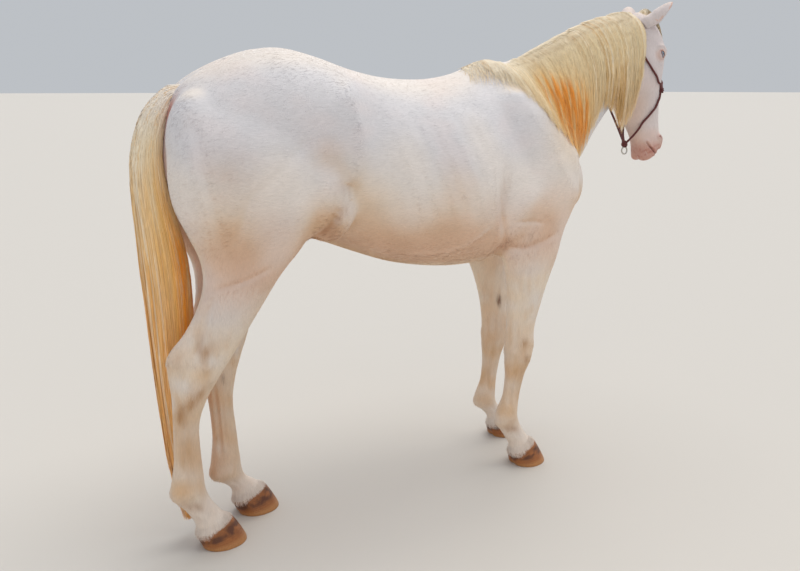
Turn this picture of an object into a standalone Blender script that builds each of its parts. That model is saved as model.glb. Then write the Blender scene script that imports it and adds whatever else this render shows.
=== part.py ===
"""A life-size standing horse, as a museum shows it, wearing a cord halter.  Blender 4.5, metres, +Z up.

The horse faces +X, its left side is +Y, and its hooves stand on z = 0.  The flesh is built whole, from
lofts and a few rounded muscles that are welded into one closed form, smoothed, thinned to flat facets and
then parted with fine saw cuts where a person names the parts.  Hooves, eyes, ears, mane, forelock, tail and
halter are pieces of their own, and each keeps a hair's breadth from its neighbours.
"""
import math

import bmesh
import bpy
import numpy as np
from mathutils import Matrix, Vector
from mathutils.bvhtree import BVHTree

# ---- driving dimensions ------------------------------------------------------------------------------
STAND = (-0.235, 0.0, 0.0)     # puts the origin under the middle of the whole horse
VOXEL = 0.010              # grain of the weld that makes one body of the lofts
FLESH_TRIANGLES = 2190     # facets left on the flesh before it is parted
SAW = 0.0006               # width of the cuts between parts of the flesh
GAP = 0.0005               # clearance between touching pieces
SWING_TOP = {"hind": 1.10, "fore": 0.95}    # height where a leg starts to swing from square
SWING_END = {"hind": 0.30, "fore": 0.45}    # below this height a leg stands fully in its own place
FETLOCK_BEND = 0.60        # above this height a sunk fetlock moves nothing
FETLOCK = 0.20             # height of a fetlock joint

EYE_RADIUS = 0.0215
EYE_PLACE = (1.212, 1.527)     # x and z of the middle of an eye
EYE_SHOWS = 0.007              # how far the ball stands out of the flesh round it

EAR_ROOT = (1.172, 0.058, 1.660)
EAR_TIP = (1.234, 0.122, 1.739)
EAR_BURIED = 0.025         # length of the ear's root that starts inside the head

CORD = 0.0045              # radius of the halter's cord
KNOT = 0.0115              # radius of a halter knot
CORD_CLEAR = 0.0022        # air between a cord and the skin

# ---- the sections of the flesh -----------------------------------------------------------------------
# Each row: front or top point A (x, z), back or bottom point B (x, z), middle y, half width, how far the
# widest place lies from A towards B, and the fullness of the outline on the side of A and of B.
TRUNK = [
    (-0.735, 1.345, -0.755, 1.200, 0, 0.060, 0.50, 2.0, 2.0),
    (-0.700, 1.400, -0.740, 1.100, 0, 0.150, 0.50, 2.0, 2.0),
    (-0.620, 1.455, -0.670, 1.020, 0, 0.215, 0.48, 2.1, 2.0),
    (-0.500, 1.505, -0.550, 0.970, 0, 0.252, 0.45, 2.2, 2.0),
    (-0.400, 1.520, -0.420, 0.930, 0, 0.268, 0.42, 2.3, 2.1),
    (-0.280, 1.495, -0.280, 0.900, 0, 0.268, 0.40, 2.2, 2.1),
    (-0.160, 1.458, -0.140, 0.845, 0, 0.264, 0.45, 2.1, 2.1),
    (-0.020, 1.430, 0.000, 0.795, 0, 0.277, 0.52, 2.0, 2.2),
    (0.140, 1.425, 0.160, 0.765, 0, 0.285, 0.55, 1.9, 2.2),
    (0.270, 1.447, 0.300, 0.757, 0, 0.270, 0.56, 1.8, 2.1),
    (0.370, 1.488, 0.420, 0.765, 0, 0.245, 0.58, 1.6, 2.0),
    (0.450, 1.495, 0.530, 0.790, 0, 0.230, 0.58, 1.6, 2.1),
    (0.540, 1.455, 0.630, 0.835, 0, 0.218, 0.56, 1.8, 2.1),
    (0.620, 1.370, 0.705, 0.890, 0, 0.200, 0.52, 2.0, 2.2),
    (0.695, 1.260, 0.760, 0.960, 0, 0.165, 0.50, 2.0, 2.2),
    (0.745, 1.180, 0.778, 1.050, 0, 0.080, 0.50, 2.0, 2.0),
]
NECK = [
    (0.300, 1.430, 0.620, 0.930, 0, 0.150, 0.55, 1.7, 2.0),
    (0.430, 1.480, 0.740, 1.020, 0, 0.155, 0.58, 1.6, 2.0),
    (0.550, 1.505, 0.830, 1.100, 0, 0.138, 0.58, 1.6, 2.0),
    (0.680, 1.565, 0.900, 1.190, 0, 0.115, 0.56, 1.7, 2.0),
    (0.820, 1.625, 0.965, 1.265, 0, 0.100, 0.54, 1.8, 2.0),
    (0.960, 1.670, 1.030, 1.330, 0, 0.090, 0.52, 1.9, 2.0),
    (1.080, 1.687, 1.090, 1.375, 0, 0.083, 0.50, 2.0, 2.0),
    (1.160, 1.675, 1.150, 1.430, 0, 0.068, 0.50, 2.0, 2.0),
]
HEAD = [
    (1.165, 1.703, 1.105, 1.655, 0, 0.032, 0.50, 2.0, 2.0),
    (1.212, 1.683, 1.075, 1.570, 0, 0.064, 0.45, 2.2, 2.0),
    (1.248, 1.640, 1.055, 1.490, 0, 0.084, 0.38, 2.4, 2.0),
    (1.268, 1.585, 1.040, 1.425, 0, 0.095, 0.32, 2.6, 2.1),
    (1.277, 1.515, 1.045, 1.365, 0, 0.094, 0.35, 2.5, 2.1),
    (1.281, 1.440, 1.068, 1.312, 0, 0.080, 0.40, 2.3, 2.0),
    (1.284, 1.360, 1.103, 1.258, 0, 0.064, 0.42, 2.1, 2.0),
    (1.287, 1.285, 1.137, 1.208, 0, 0.053, 0.45, 2.1, 2.0),
    (1.290, 1.215, 1.160, 1.162, 0, 0.050, 0.48, 2.2, 2.0),
    (1.287, 1.165, 1.168, 1.120, 0, 0.054, 0.48, 2.3, 2.1),
    (1.270, 1.122, 1.180, 1.094, 0, 0.048, 0.48, 2.3, 2.1),
    (1.244, 1.100, 1.202, 1.084, 0, 0.026, 0.50, 2.0, 2.0),
]
HIND_LEG = [
    (-0.330, 1.330, -0.700, 1.330, 0.115, 0.115, 0.50, 2.0, 2.0),
    (-0.275, 1.230, -0.752, 1.250, 0.130, 0.137, 0.50, 2.2, 2.2),
    (-0.258, 1.130, -0.768, 1.150, 0.136, 0.140, 0.48, 2.2, 2.2),
    (-0.272, 1.050, -0.757, 1.055, 0.140, 0.134, 0.45, 2.2, 2.1),
    (-0.305, 0.980, -0.722, 0.975, 0.143, 0.118, 0.42, 2.1, 2.0),
    (-0.372, 0.905, -0.686, 0.900, 0.143, 0.097, 0.42, 2.0, 2.0),
    (-0.434, 0.830, -0.672, 0.825, 0.139, 0.080, 0.42, 2.0, 2.0),
    (-0.482, 0.745, -0.688, 0.750, 0.131, 0.066, 0.40, 2.0, 1.9),
    (-0.524, 0.665, -0.722, 0.680, 0.122, 0.055, 0.38, 2.0, 1.7),
    (-0.564, 0.595, -0.758, 0.628, 0.115, 0.050, 0.36, 2.2, 1.8),
    (-0.606, 0.530, -0.759, 0.560, 0.112, 0.050, 0.42, 2.2, 2.0),
    (-0.641, 0.465, -0.747, 0.488, 0.109, 0.044, 0.44, 2.1, 2.0),
    (-0.660, 0.395, -0.743, 0.405, 0.107, 0.034, 0.42, 2.0, 2.0),
    (-0.656, 0.300, -0.742, 0.300, 0.105, 0.032, 0.42, 2.0, 2.0),
    (-0.650, 0.235, -0.749, 0.235, 0.102, 0.038, 0.45, 2.1, 2.0),
    (-0.646, 0.195, -0.752, 0.185, 0.100, 0.039, 0.45, 2.1, 2.0),
    (-0.632, 0.155, -0.716, 0.132, 0.100, 0.032, 0.45, 2.0, 2.0),
    (-0.606, 0.115, -0.688, 0.088, 0.100, 0.034, 0.45, 2.0, 2.0),
    (-0.580, 0.080, -0.682, 0.050, 0.100, 0.043, 0.45, 2.0, 2.1),
    (-0.566, 0.040, -0.672, 0.018, 0.100, 0.044, 0.45, 2.0, 2.1),
]
FORE_LEG = [
    (0.480, 1.400, 0.360, 1.370, 0.125, 0.050, 0.50, 2.0, 2.0),
    (0.590, 1.300, 0.330, 1.230, 0.145, 0.072, 0.50, 2.0, 2.0),
    (0.680, 1.180, 0.325, 1.090, 0.158, 0.080, 0.50, 2.0, 2.0),
    (0.715, 1.070, 0.328, 0.990, 0.162, 0.084, 0.48, 2.0, 2.0),
    (0.692, 0.965, 0.342, 0.900, 0.162, 0.083, 0.48, 2.0, 2.0),
    (0.650, 0.875, 0.362, 0.835, 0.158, 0.076, 0.48, 2.0, 1.9),
    (0.621, 0.790, 0.388, 0.765, 0.152, 0.068, 0.45, 2.0, 1.9),
    (0.588, 0.700, 0.406, 0.690, 0.145, 0.060, 0.42, 2.0, 1.9),
    (0.560, 0.610, 0.412, 0.605, 0.138, 0.051, 0.42, 2.0, 1.9),
    (0.536, 0.525, 0.412, 0.525, 0.133, 0.043, 0.42, 2.1, 1.9),
    (0.526, 0.455, 0.412, 0.460, 0.130, 0.045, 0.40, 2.4, 2.0),
    (0.516, 0.400, 0.410, 0.400, 0.130, 0.044, 0.40, 2.4, 2.0),
    (0.496, 0.350, 0.412, 0.350, 0.129, 0.034, 0.42, 2.1, 2.0),
    (0.479, 0.275, 0.401, 0.275, 0.127, 0.026, 0.42, 2.0, 2.0),
    (0.470, 0.225, 0.378, 0.222, 0.125, 0.033, 0.45, 2.1, 2.0),
    (0.468, 0.188, 0.374, 0.178, 0.125, 0.036, 0.45, 2.1, 2.0),
    (0.486, 0.148, 0.406, 0.125, 0.125, 0.031, 0.45, 2.0, 2.0),
    (0.512, 0.108, 0.432, 0.082, 0.125, 0.033, 0.45, 2.0, 2.0),
    (0.536, 0.076, 0.440, 0.047, 0.125, 0.042, 0.45, 2.0, 2.1),
    (0.550, 0.038, 0.450, 0.016, 0.125, 0.043, 0.45, 2.0, 2.1),
]
# Each leg: its table, its side, how far its foot stands forward and outward of square, and how far its
# fetlock sinks under the weight it carries.
LEGS = {
    "right_hind": (HIND_LEG, -1, -0.030, -0.015, 0.000),
    "left_hind": (HIND_LEG, 1, 0.132, -0.036, 0.036),
    "right_fore": (FORE_LEG, -1, -0.006, 0.012, 0.000),
    "left_fore": (FORE_LEG, 1, 0.080, 0.000, 0.030),
}
# Rounded muscles and bones, one on each side: middle, half axes, and a turn about Y in degrees.
MUSCLES = [
    ((1.214, 0.072, 1.540), (0.046, 0.030, 0.040), 0),      # brow
    ((1.118, 0.046, 1.425), (0.078, 0.044, 0.104), 28),     # cheek
    ((1.262, 0.030, 1.172), (0.030, 0.026, 0.042), 0),      # nostril
    ((0.690, 0.090, 1.060), (0.095, 0.088, 0.140), -15),    # breast
    ((0.405, 0.182, 0.985), (0.125, 0.070, 0.165), 35),     # triceps
    ((0.640, 0.150, 1.110), (0.085, 0.075, 0.110), 0),      # point of the shoulder
    ((-0.340, 0.195, 1.080), (0.105, 0.072, 0.170), -25),   # stifle
    ((-0.650, 0.110, 1.200), (0.110, 0.110, 0.190), -10),   # buttock
]

# Each hoof: toe and heel x on the floor, then front and heel point (x, z) of the coronet, and the half
# width on the floor and at the coronet.
HOOVES = {
    "hind": (-0.525, -0.665, (-0.576, 0.086), (-0.684, 0.045), 0.062, 0.0455),
    "fore": (0.587, 0.452, (0.537, 0.088), (0.436, 0.047), 0.065, 0.0455),
}

HOOF_AROUND = 16
HOOF_LEVELS = (0.0, 0.5, 0.88, 1.0)     # shares of a hoof's height where it has a ring
HEEL_FULLNESS = 0.75       # below 1 the heel is squarer than an oval
HEEL_NARROWING = 0.10      # share by which the hoof narrows towards the heel
CORONET_INSET = (0.002, 0.001)          # how far toe and sides draw in at the coronet
END_BLOCK = (0.22, 0.16, 0.12)          # block that ends the flesh where a hoof begins

TAIL = [
    (-0.690, 1.335, -0.700, 1.412, 0, 0.028, 0.50, 2.0, 2.0),
    (-0.728, 1.305, -0.748, 1.380, 0, 0.040, 0.50, 2.0, 2.0),
    (-0.740, 1.255, -0.800, 1.316, 0.002, 0.052, 0.50, 2.0, 2.0),
    (-0.744, 1.185, -0.831, 1.212, 0.005, 0.058, 0.50, 2.0, 2.0),
    (-0.738, 1.100, -0.834, 1.105, 0.010, 0.061, 0.50, 2.0, 2.0),
    (-0.700, 0.980, -0.824, 0.980, 0.018, 0.064, 0.50, 2.0, 2.0),
    (-0.672, 0.850, -0.813, 0.850, 0.026, 0.066, 0.50, 2.0, 2.0),
    (-0.664, 0.700, -0.800, 0.700, 0.032, 0.064, 0.50, 2.0, 2.0),
    (-0.668, 0.550, -0.786, 0.550, 0.035, 0.060, 0.50, 2.0, 2.0),
    (-0.672, 0.400, -0.772, 0.400, 0.035, 0.055, 0.50, 2.0, 2.0),
    (-0.676, 0.250, -0.756, 0.250, 0.032, 0.046, 0.50, 2.0, 2.0),
    (-0.682, 0.130, -0.734, 0.130, 0.028, 0.030, 0.50, 2.0, 2.0),
    (-0.694, 0.045, -0.712, 0.045, 0.024, 0.010, 0.50, 2.0, 2.0),
]
FORELOCK = [
    (1.150, 1.722, 1.148, 1.690, 0, 0.016, 0.50, 2.0, 2.0),
    (1.195, 1.722, 1.178, 1.680, 0, 0.020, 0.50, 2.0, 2.0),
    (1.240, 1.702, 1.205, 1.650, 0, 0.028, 0.50, 2.0, 2.0),
    (1.272, 1.655, 1.225, 1.620, 0, 0.038, 0.50, 2.0, 2.0),
    (1.292, 1.590, 1.245, 1.570, 0, 0.043, 0.50, 2.0, 2.0),
    (1.304, 1.530, 1.258, 1.520, 0, 0.040, 0.50, 2.0, 2.0),
    (1.303, 1.485, 1.268, 1.482, 0, 0.030, 0.50, 2.0, 2.0),
    (1.296, 1.456, 1.272, 1.458, 0, 0.010, 0.50, 2.0, 2.0),
]
# The mane hangs on the right side.  Each row: its root on the crest (x, z), its lower end (x, z), and the
# thickness of the hair in the middle of its fall.
MANE = [
    (0.310, 1.466, 0.288, 1.400, 0.013),
    (0.400, 1.498, 0.385, 1.382, 0.016),
    (0.500, 1.504, 0.500, 1.345, 0.018),
    (0.590, 1.535, 0.600, 1.240, 0.020),
    (0.680, 1.578, 0.680, 1.190, 0.022),
    (0.760, 1.616, 0.750, 1.150, 0.022),
    (0.840, 1.650, 0.830, 1.240, 0.022),
    (0.910, 1.672, 0.910, 1.320, 0.021),
    (0.980, 1.686, 0.975, 1.300, 0.020),
    (1.050, 1.694, 1.035, 1.220, 0.019),
    (1.105, 1.694, 1.085, 1.380, 0.016),
    (1.135, 1.692, 1.115, 1.520, 0.010),
]
MANE_FALL = [0.0, 0.10, 0.28, 0.55, 0.80, 1.0]    # places down each row of the mane


# ---- lofts -------------------------------------------------------------------------------------------
def smooth_rows(rows, steps):
    """The rows of a table with `steps` smooth rows for each of its gaps (Catmull-Rom, ends mirrored)."""
    rows = np.array(rows, dtype=float)
    padded = np.vstack([2 * rows[0] - rows[1], rows, 2 * rows[-1] - rows[-2]])
    result = []
    for k in range(len(rows) - 1):
        a, b, c, d = padded[k:k + 4]
        for t in np.arange(steps) / steps:
            result.append(0.5 * (2 * b + (c - a) * t + (2 * a - 5 * b + 4 * c - d) * t * t
                                 + (3 * b - 3 * c + d - a) * t ** 3))
    result.append(rows[-1])
    return np.array(result)


def section(row, around):
    """One ring: a lopsided oval from A round to B and back, in the plane that holds A, B and the Y axis."""
    ax, az, bx, bz, middle, half_width, widest, full_a, full_b = row
    turn = np.arange(around) * 2 * math.pi / around
    along, across = np.cos(turn), np.sin(turn)
    full = np.where(along > 0, full_a, full_b)
    power = 2 / full
    along = np.sign(along) * np.abs(along) ** power
    across = np.sign(across) * np.abs(across) ** power
    place = np.where(along > 0, widest * (1 - along), widest - (1 - widest) * along)
    return np.column_stack([ax + (bx - ax) * place, middle + half_width * across, az + (bz - az) * place])


def rings_of(rows, steps, around):
    """All the rings of one table."""
    return [section(row, around) for row in smooth_rows(rows, steps)]


def loft_mesh(bm, rings):
    """A closed tube through the rings, with a point in the middle of each end."""
    grid = [[bm.verts.new(point) for point in ring] for ring in rings]
    around = len(grid[0])
    for k in range(len(grid) - 1):
        for i in range(around):
            j = (i + 1) % around
            bm.faces.new((grid[k][i], grid[k][j], grid[k + 1][j], grid[k + 1][i]))
    for ring, step in ((grid[0], 1), (grid[-1], -1)):
        pole = bm.verts.new(sum((vert.co for vert in ring), Vector()) / around)
        for i in range(around):
            pair = (ring[(i + 1) % around], ring[i]) if step > 0 else (ring[i], ring[(i + 1) % around])
            bm.faces.new((pole, *pair))


def loft(name, rings):
    """A mesh of one closed loft with its faces turned outward."""
    bm = bmesh.new()
    loft_mesh(bm, rings)
    bmesh.ops.recalc_face_normals(bm, faces=bm.faces)
    return to_mesh(bm, name)


def to_mesh(bm, name):
    """The bmesh as a mesh."""
    mesh = bpy.data.meshes.new(name)
    bm.to_mesh(mesh)
    bm.free()
    return mesh


def smooth_step(value, low, high):
    """0 below `low`, 1 above `high`, with a soft run between."""
    t = np.clip((value - low) / (high - low), 0, 1)
    return t * t * (3 - 2 * t)


def stance(points, kind, side, forward, outward, sink):
    """The points of a square leg moved to where this leg stands, with its fetlock sunk by `sink`."""
    points = points.copy()
    share = 1 - smooth_step(points[:, 2], SWING_END[kind], SWING_TOP[kind])
    points[:, 0] += forward * share
    points[:, 1] = side * (points[:, 1] + outward * share)
    bend = (smooth_step(points[:, 2], 0.085, FETLOCK - 0.02)
            * (1 - smooth_step(points[:, 2], FETLOCK + 0.02, FETLOCK_BEND)))
    points[:, 2] -= sink * bend
    return points


# ---- scene helpers -----------------------------------------------------------------------------------
def clear_scene():
    for leftover in list(bpy.data.objects):
        bpy.data.objects.remove(leftover, do_unlink=True)


def collection(name):
    group = bpy.data.collections.new(name)
    bpy.context.scene.collection.children.link(group)
    return group


def material(name, color, roughness, metallic=0.0):
    made = bpy.data.materials.new(name)
    made.use_nodes = True
    shader = made.node_tree.nodes["Principled BSDF"]
    shader.inputs["Base Color"].default_value = (*color, 1)
    shader.inputs["Roughness"].default_value = roughness
    shader.inputs["Metallic"].default_value = metallic
    return made


def add(group, name, mesh, paint=None):
    """An object for the mesh, in the group, with its material."""
    made = bpy.data.objects.new(name, mesh)
    group.objects.link(made)
    if paint:
        mesh.materials.clear()
        mesh.materials.append(paint)
    return made


def cutter(group, name, mesh):
    """A shape that only cuts others."""
    made = add(group, name, mesh)
    made.hide_render = True
    made.display_type = "WIRE"
    return made


def cut(piece, tool):
    """Take the tool's shape out of the piece."""
    boolean = piece.modifiers.new("cut by " + tool.name, "BOOLEAN")
    boolean.operation = "DIFFERENCE"
    boolean.object = tool
    boolean.solver = "EXACT"


def finished(piece):
    """The piece's mesh with its modifiers worked in."""
    bpy.context.view_layer.update()
    return bpy.data.meshes.new_from_object(piece.evaluated_get(bpy.context.evaluated_depsgraph_get()))


def settle(piece):
    """Turn the piece's modifiers into its mesh, and keep only its largest closed body."""
    mesh = finished(piece)
    piece.modifiers.clear()
    piece.data = max(loose_bodies(mesh), key=lambda body: len(body.vertices))
    return piece


def loose_bodies(mesh):
    """One mesh for each closed body of the mesh."""
    bm = bmesh.new()
    bm.from_mesh(mesh)
    bmesh.ops.remove_doubles(bm, verts=bm.verts, dist=0.00001)
    bmesh.ops.triangulate(bm, faces=bm.faces)
    unseen = set(bm.verts)
    bodies = []
    while unseen:
        patch = {unseen.pop()}
        edge = list(patch)
        while edge:
            vert = edge.pop()
            for link in vert.link_edges:
                other = link.other_vert(vert)
                if other in unseen:
                    unseen.discard(other)
                    patch.add(other)
                    edge.append(other)
        bodies.append(patch)
    meshes = []
    for number, patch in enumerate(sorted(bodies, key=len, reverse=True)):
        order = sorted(patch, key=lambda vert: vert.index)
        place = {vert: k for k, vert in enumerate(order)}
        faces = [[place[vert] for vert in face.verts] for face in bm.faces if face.verts[0] in patch]
        body = bpy.data.meshes.new(f"{mesh.name}_{number}")
        body.from_pydata([vert.co for vert in order], [], faces)
        for slot in mesh.materials:
            body.materials.append(slot)
        meshes.append(body)
    bm.free()
    return meshes


def grown(mesh, by, name):
    """A copy of the mesh with its surface moved out by `by`."""
    copy = mesh.copy()
    copy.name = name
    normals = np.zeros(len(copy.vertices) * 3)
    copy.vertex_normals.foreach_get("vector", normals)
    places = np.zeros_like(normals)
    copy.vertices.foreach_get("co", places)
    copy.vertices.foreach_set("co", places + normals * by)
    copy.update()
    return copy


# ---- the flesh ---------------------------------------------------------------------------------------
def whole_body():
    """Every loft and muscle of the flesh in one mesh, still overlapping."""
    bm = bmesh.new()
    for rows in (TRUNK, NECK, HEAD):
        loft_mesh(bm, rings_of(rows, 4, 40))
    for rows, side, forward, outward, sink in LEGS.values():
        kind = "hind" if rows is HIND_LEG else "fore"
        loft_mesh(bm, [stance(ring, kind, side, forward, outward, sink) for ring in rings_of(rows, 4, 28)])
    for middle, axes, turn in MUSCLES:
        for side in (-1, 1):
            place = (Matrix.Translation((middle[0], side * middle[1], middle[2]))
                     @ Matrix.Rotation(math.radians(turn), 4, "Y") @ Matrix.Diagonal((*axes, 1)))
            bmesh.ops.create_uvsphere(bm, u_segments=24, v_segments=14, radius=1, matrix=place)
    bmesh.ops.recalc_face_normals(bm, faces=bm.faces)
    return to_mesh(bm, "horse_whole")


def softness(places):
    """How far each point of the flesh gives way when it is smoothed: fully on the body, little on the
    head and the lower legs."""
    x, z = places[:, 0], places[:, 2]
    high = smooth_step(z, 0.55, 0.85)
    head = smooth_step(x, 0.98, 1.08) * smooth_step(x + 0.55 * z, 1.70, 1.80)
    return 0.22 + 0.78 * high * (1 - 0.80 * head)


def welded_body(group):
    """The flesh as one closed, smooth body with flat facets."""
    lump = add(group, "flesh", whole_body())
    weld = lump.modifiers.new("weld", "REMESH")
    weld.mode = "VOXEL"
    weld.voxel_size = VOXEL
    settle(lump)
    places = np.zeros(len(lump.data.vertices) * 3)
    lump.data.vertices.foreach_get("co", places)
    soft = softness(places.reshape(-1, 3))
    weights = lump.vertex_groups.new(name="soft")
    for index, value in enumerate(soft):
        weights.add([index], float(value), "REPLACE")
    smooth = lump.modifiers.new("smooth", "SMOOTH")
    smooth.factor = 0.5
    smooth.iterations = 60
    smooth.vertex_group = "soft"
    thin = lump.modifiers.new("thin", "DECIMATE")
    thin.ratio = FLESH_TRIANGLES / (2 * len(lump.data.vertices))
    settle(lump)
    lump.vertex_groups.clear()
    return lump


def slab(bm, middle, normal, reach_u, reach_v):
    """A saw cut: a thin plate through `middle`, across `normal` (x, z), reaching `reach_u` each way in the
    XZ plane and `reach_v` each way along Y."""
    slope = math.atan2(-normal[0], normal[1])
    place = (Matrix.Translation((middle[0], middle[1], middle[2])) @ Matrix.Rotation(-slope, 4, "Y")
             @ Matrix.Diagonal((2 * reach_u, 2 * reach_v, SAW, 1)))
    bmesh.ops.create_cube(bm, size=1, matrix=place)


def saws():
    """The cuts that part the flesh: neck from head and chest, chest, barrel and hindquarters, and each leg
    below the body and through its knee or hock."""
    bm = bmesh.new()
    slab(bm, (1.080, 0, 1.530), (0.974, -0.228), 0.25, 0.20)
    slab(bm, (0.660, 0, 1.290), (0.76, 0.65), 0.42, 0.40)
    slab(bm, (0.250, 0, 1.120), (1.00, 0.00), 0.48, 0.40)
    slab(bm, (-0.232, 0, 1.190), (1.00, 0.00), 0.38, 0.40)
    slab(bm, (-0.555, 0, 0.868), (0.00, 1.00), 0.225, 0.40)
    slab(bm, (0.520, 0, 0.772), (-0.22, 0.98), 0.185, 0.40)
    slab(bm, (0.500, 0, 0.430), (0.00, 1.00), 0.20, 0.40)
    slab(bm, (-0.600, 0, 0.560), (0.00, 1.00), 0.26, 0.40)
    bmesh.ops.recalc_face_normals(bm, faces=bm.faces)
    return to_mesh(bm, "saws")


def coronets():
    """Blocks that end the flesh of each leg on the slanting plane where its hoof begins."""
    bm = bmesh.new()
    for rows, side, forward, outward, sink in LEGS.values():
        toe, heel, front, back, floor_width, top_width = HOOVES["hind" if rows is HIND_LEG else "fore"]
        slope = math.atan2(front[1] - back[1], front[0] - back[0])
        middle = ((front[0] + back[0]) / 2 + forward, side * (abs(rows[-1][4]) + outward),
                  (front[1] + back[1]) / 2)
        place = (Matrix.Translation(middle) @ Matrix.Rotation(-slope, 4, "Y")
                 @ Matrix.Translation((0, 0, -END_BLOCK[2] / 2)) @ Matrix.Diagonal((*END_BLOCK, 1)))
        bmesh.ops.create_cube(bm, size=1, matrix=place)
    return to_mesh(bm, "coronets")


# The parts of the flesh, each known by a point near its middle.
FLESH_PARTS = {
    "head": (1.19, 0, 1.42), "neck": (0.86, 0, 1.42), "chest": (0.48, 0, 1.13), "barrel": (0.01, 0, 1.12),
    "hindquarters": (-0.50, 0, 1.20),
    "right_forearm": (0.49, -0.14, 0.60), "left_forearm": (0.54, 0.14, 0.60),
    "right_fore_cannon": (0.45, -0.125, 0.25), "left_fore_cannon": (0.53, 0.125, 0.25),
    "right_gaskin": (-0.60, -0.12, 0.72), "left_gaskin": (-0.52, 0.12, 0.72),
    "right_hind_cannon": (-0.69, -0.07, 0.32), "left_hind_cannon": (-0.54, 0.07, 0.32),
}


def part_flesh(group, tools, lump, paint):
    """Cut the flesh into its named parts."""
    saw = cutter(tools, "saws", saws())
    ends = cutter(tools, "coronets", coronets())
    cut(lump, ends)
    cut(lump, saw)
    made = {}
    for body in loose_bodies(finished(lump)):
        corners = np.array([vert.co[:] for vert in body.vertices])
        middle = (corners.min(axis=0) + corners.max(axis=0)) / 2
        name = min(FLESH_PARTS, key=lambda known: np.linalg.norm(middle - np.array(FLESH_PARTS[known])))
        made.setdefault(name, []).append(body)
    for name, found in made.items():
        add(group, name, max(found, key=lambda body: len(body.vertices)), paint)
    bpy.data.objects.remove(lump)


# ---- hooves ------------------------------------------------------------------------------------------
def hoof(group, name, rows, side, forward, outward, paint):
    """A hoof: flat sole on the floor, sloping wall, and a top on the coronet's plane."""
    toe, heel, front, back, floor_width, top_width = HOOVES["hind" if rows is HIND_LEG else "fore"]
    rise = (front[1] - back[1]) / (front[0] - back[0])
    turn = np.arange(HOOF_AROUND) * 2 * math.pi / HOOF_AROUND
    along, across = np.cos(turn), np.sin(turn)
    rear = along < 0
    along = np.where(rear, -np.abs(along) ** HEEL_FULLNESS, along)
    across = across * np.where(rear, 1.02 - HEEL_NARROWING * along ** 2, 1.0)
    rings = []
    for share in HOOF_LEVELS:
        x_toe = toe + (front[0] - toe) * share
        x_heel = heel + (back[0] - heel) * share
        wide = floor_width + (top_width - floor_width) * share ** 0.9
        if share == 1.0:
            x_toe -= CORONET_INSET[0]
            wide -= CORONET_INSET[1]
        x = (x_toe + x_heel) / 2 + (x_toe - x_heel) / 2 * along
        top = back[1] + rise * (x - back[0]) - GAP
        y = side * (abs(rows[-1][4]) + outward) + wide * across
        rings.append(np.column_stack([x + forward, y, top * share]))
    return add(group, name, loft(name, rings), paint)


# ---- eyes --------------------------------------------------------------------------------------------
def eyes(group, tools, lump, tree, paint):
    """Both eyeballs, and the sockets they sit in."""
    for side, name in ((-1, "right_eye"), (1, "left_eye")):
        start = Vector((EYE_PLACE[0], side, EYE_PLACE[1]))
        spot = tree.ray_cast(start, Vector((0, -side, 0)))[0]
        middle = spot + Vector((0, -side, 0)) * (EYE_RADIUS - EYE_SHOWS)
        for label, radius in ((name, EYE_RADIUS), (name + "_socket", EYE_RADIUS + GAP)):
            bm = bmesh.new()
            place = Matrix.Translation(middle) @ Matrix.Rotation(math.radians(90), 4, "X")
            bmesh.ops.create_uvsphere(bm, u_segments=10, v_segments=7, radius=radius, matrix=place)
            mesh = to_mesh(bm, label)
            if label == name:
                add(group, name, mesh, paint)
            else:
                cut(lump, cutter(tools, label, mesh))


# ---- ears --------------------------------------------------------------------------------------------
def ear(group, name, side, skin, paint):
    """An ear: a trumpet of thin wall, open to the front and outward, closed and solid at its root."""
    root = Vector((EAR_ROOT[0], side * EAR_ROOT[1], EAR_ROOT[2]))
    tip = Vector((EAR_TIP[0], side * EAR_TIP[1], EAR_TIP[2]))
    up = (tip - root).normalized()
    root = root - up * EAR_BURIED
    length = (tip - root).length
    open_to = Vector((0.80, side * 0.75, -0.25))
    open_to = (open_to - up * open_to.dot(up)).normalized()
    across = up.cross(open_to)
    turn = np.arange(12) * 2 * math.pi / 12
    # height share, radius of the wall, half opening of the wall in degrees, half thickness, lean forward
    shape = smooth_rows([
        (0.00, 0.018, 150, 0.014, 0.000),
        (0.18, 0.024, 150, 0.013, 0.000),
        (0.32, 0.030, 135, 0.0055, -0.002),
        (0.50, 0.033, 110, 0.0042, -0.004),
        (0.68, 0.029, 95, 0.0036, -0.004),
        (0.84, 0.020, 82, 0.0030, 0.002),
        (0.95, 0.010, 70, 0.0025, 0.009),
        (1.00, 0.003, 60, 0.0015, 0.014),
    ], 1)
    rings = []
    for share, radius, opening, thick, lean in shape:
        angle = math.radians(opening) * np.cos(turn)
        reach = radius + thick * np.sin(turn)
        points = [root + up * (share * length) + open_to * (lean + radius * 0.3 - r * math.cos(a))
                  + across * (r * math.sin(a)) for a, r in zip(angle, reach)]
        rings.append(np.array([point[:] for point in points]))
    made = add(group, name, loft(name, rings), paint)
    cut(made, skin)
    return settle(made)


# ---- hair --------------------------------------------------------------------------------------------
def tail(group, tools, skin, saw_heights, paint):
    """The tail out to its hair, cut across into lengths."""
    whole = add(group, "tail", loft("tail", rings_of(TAIL, 1, 14)), paint)
    cut(whole, skin)
    settle(whole)
    bm = bmesh.new()
    for height in saw_heights:
        slab(bm, (-0.77, 0, height), (0, 1), 0.15, 0.15)
    cut(whole, cutter(tools, "tail_saws", to_mesh(bm, "tail_saws")))
    bodies = loose_bodies(finished(whole))
    bodies.sort(key=lambda body: -max(vert.co.z for vert in body.vertices))
    for name, body in zip(("tail_dock", "tail_switch", "tail_tip"), bodies):
        add(group, name, body, paint)
    bpy.data.objects.remove(whole)


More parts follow.
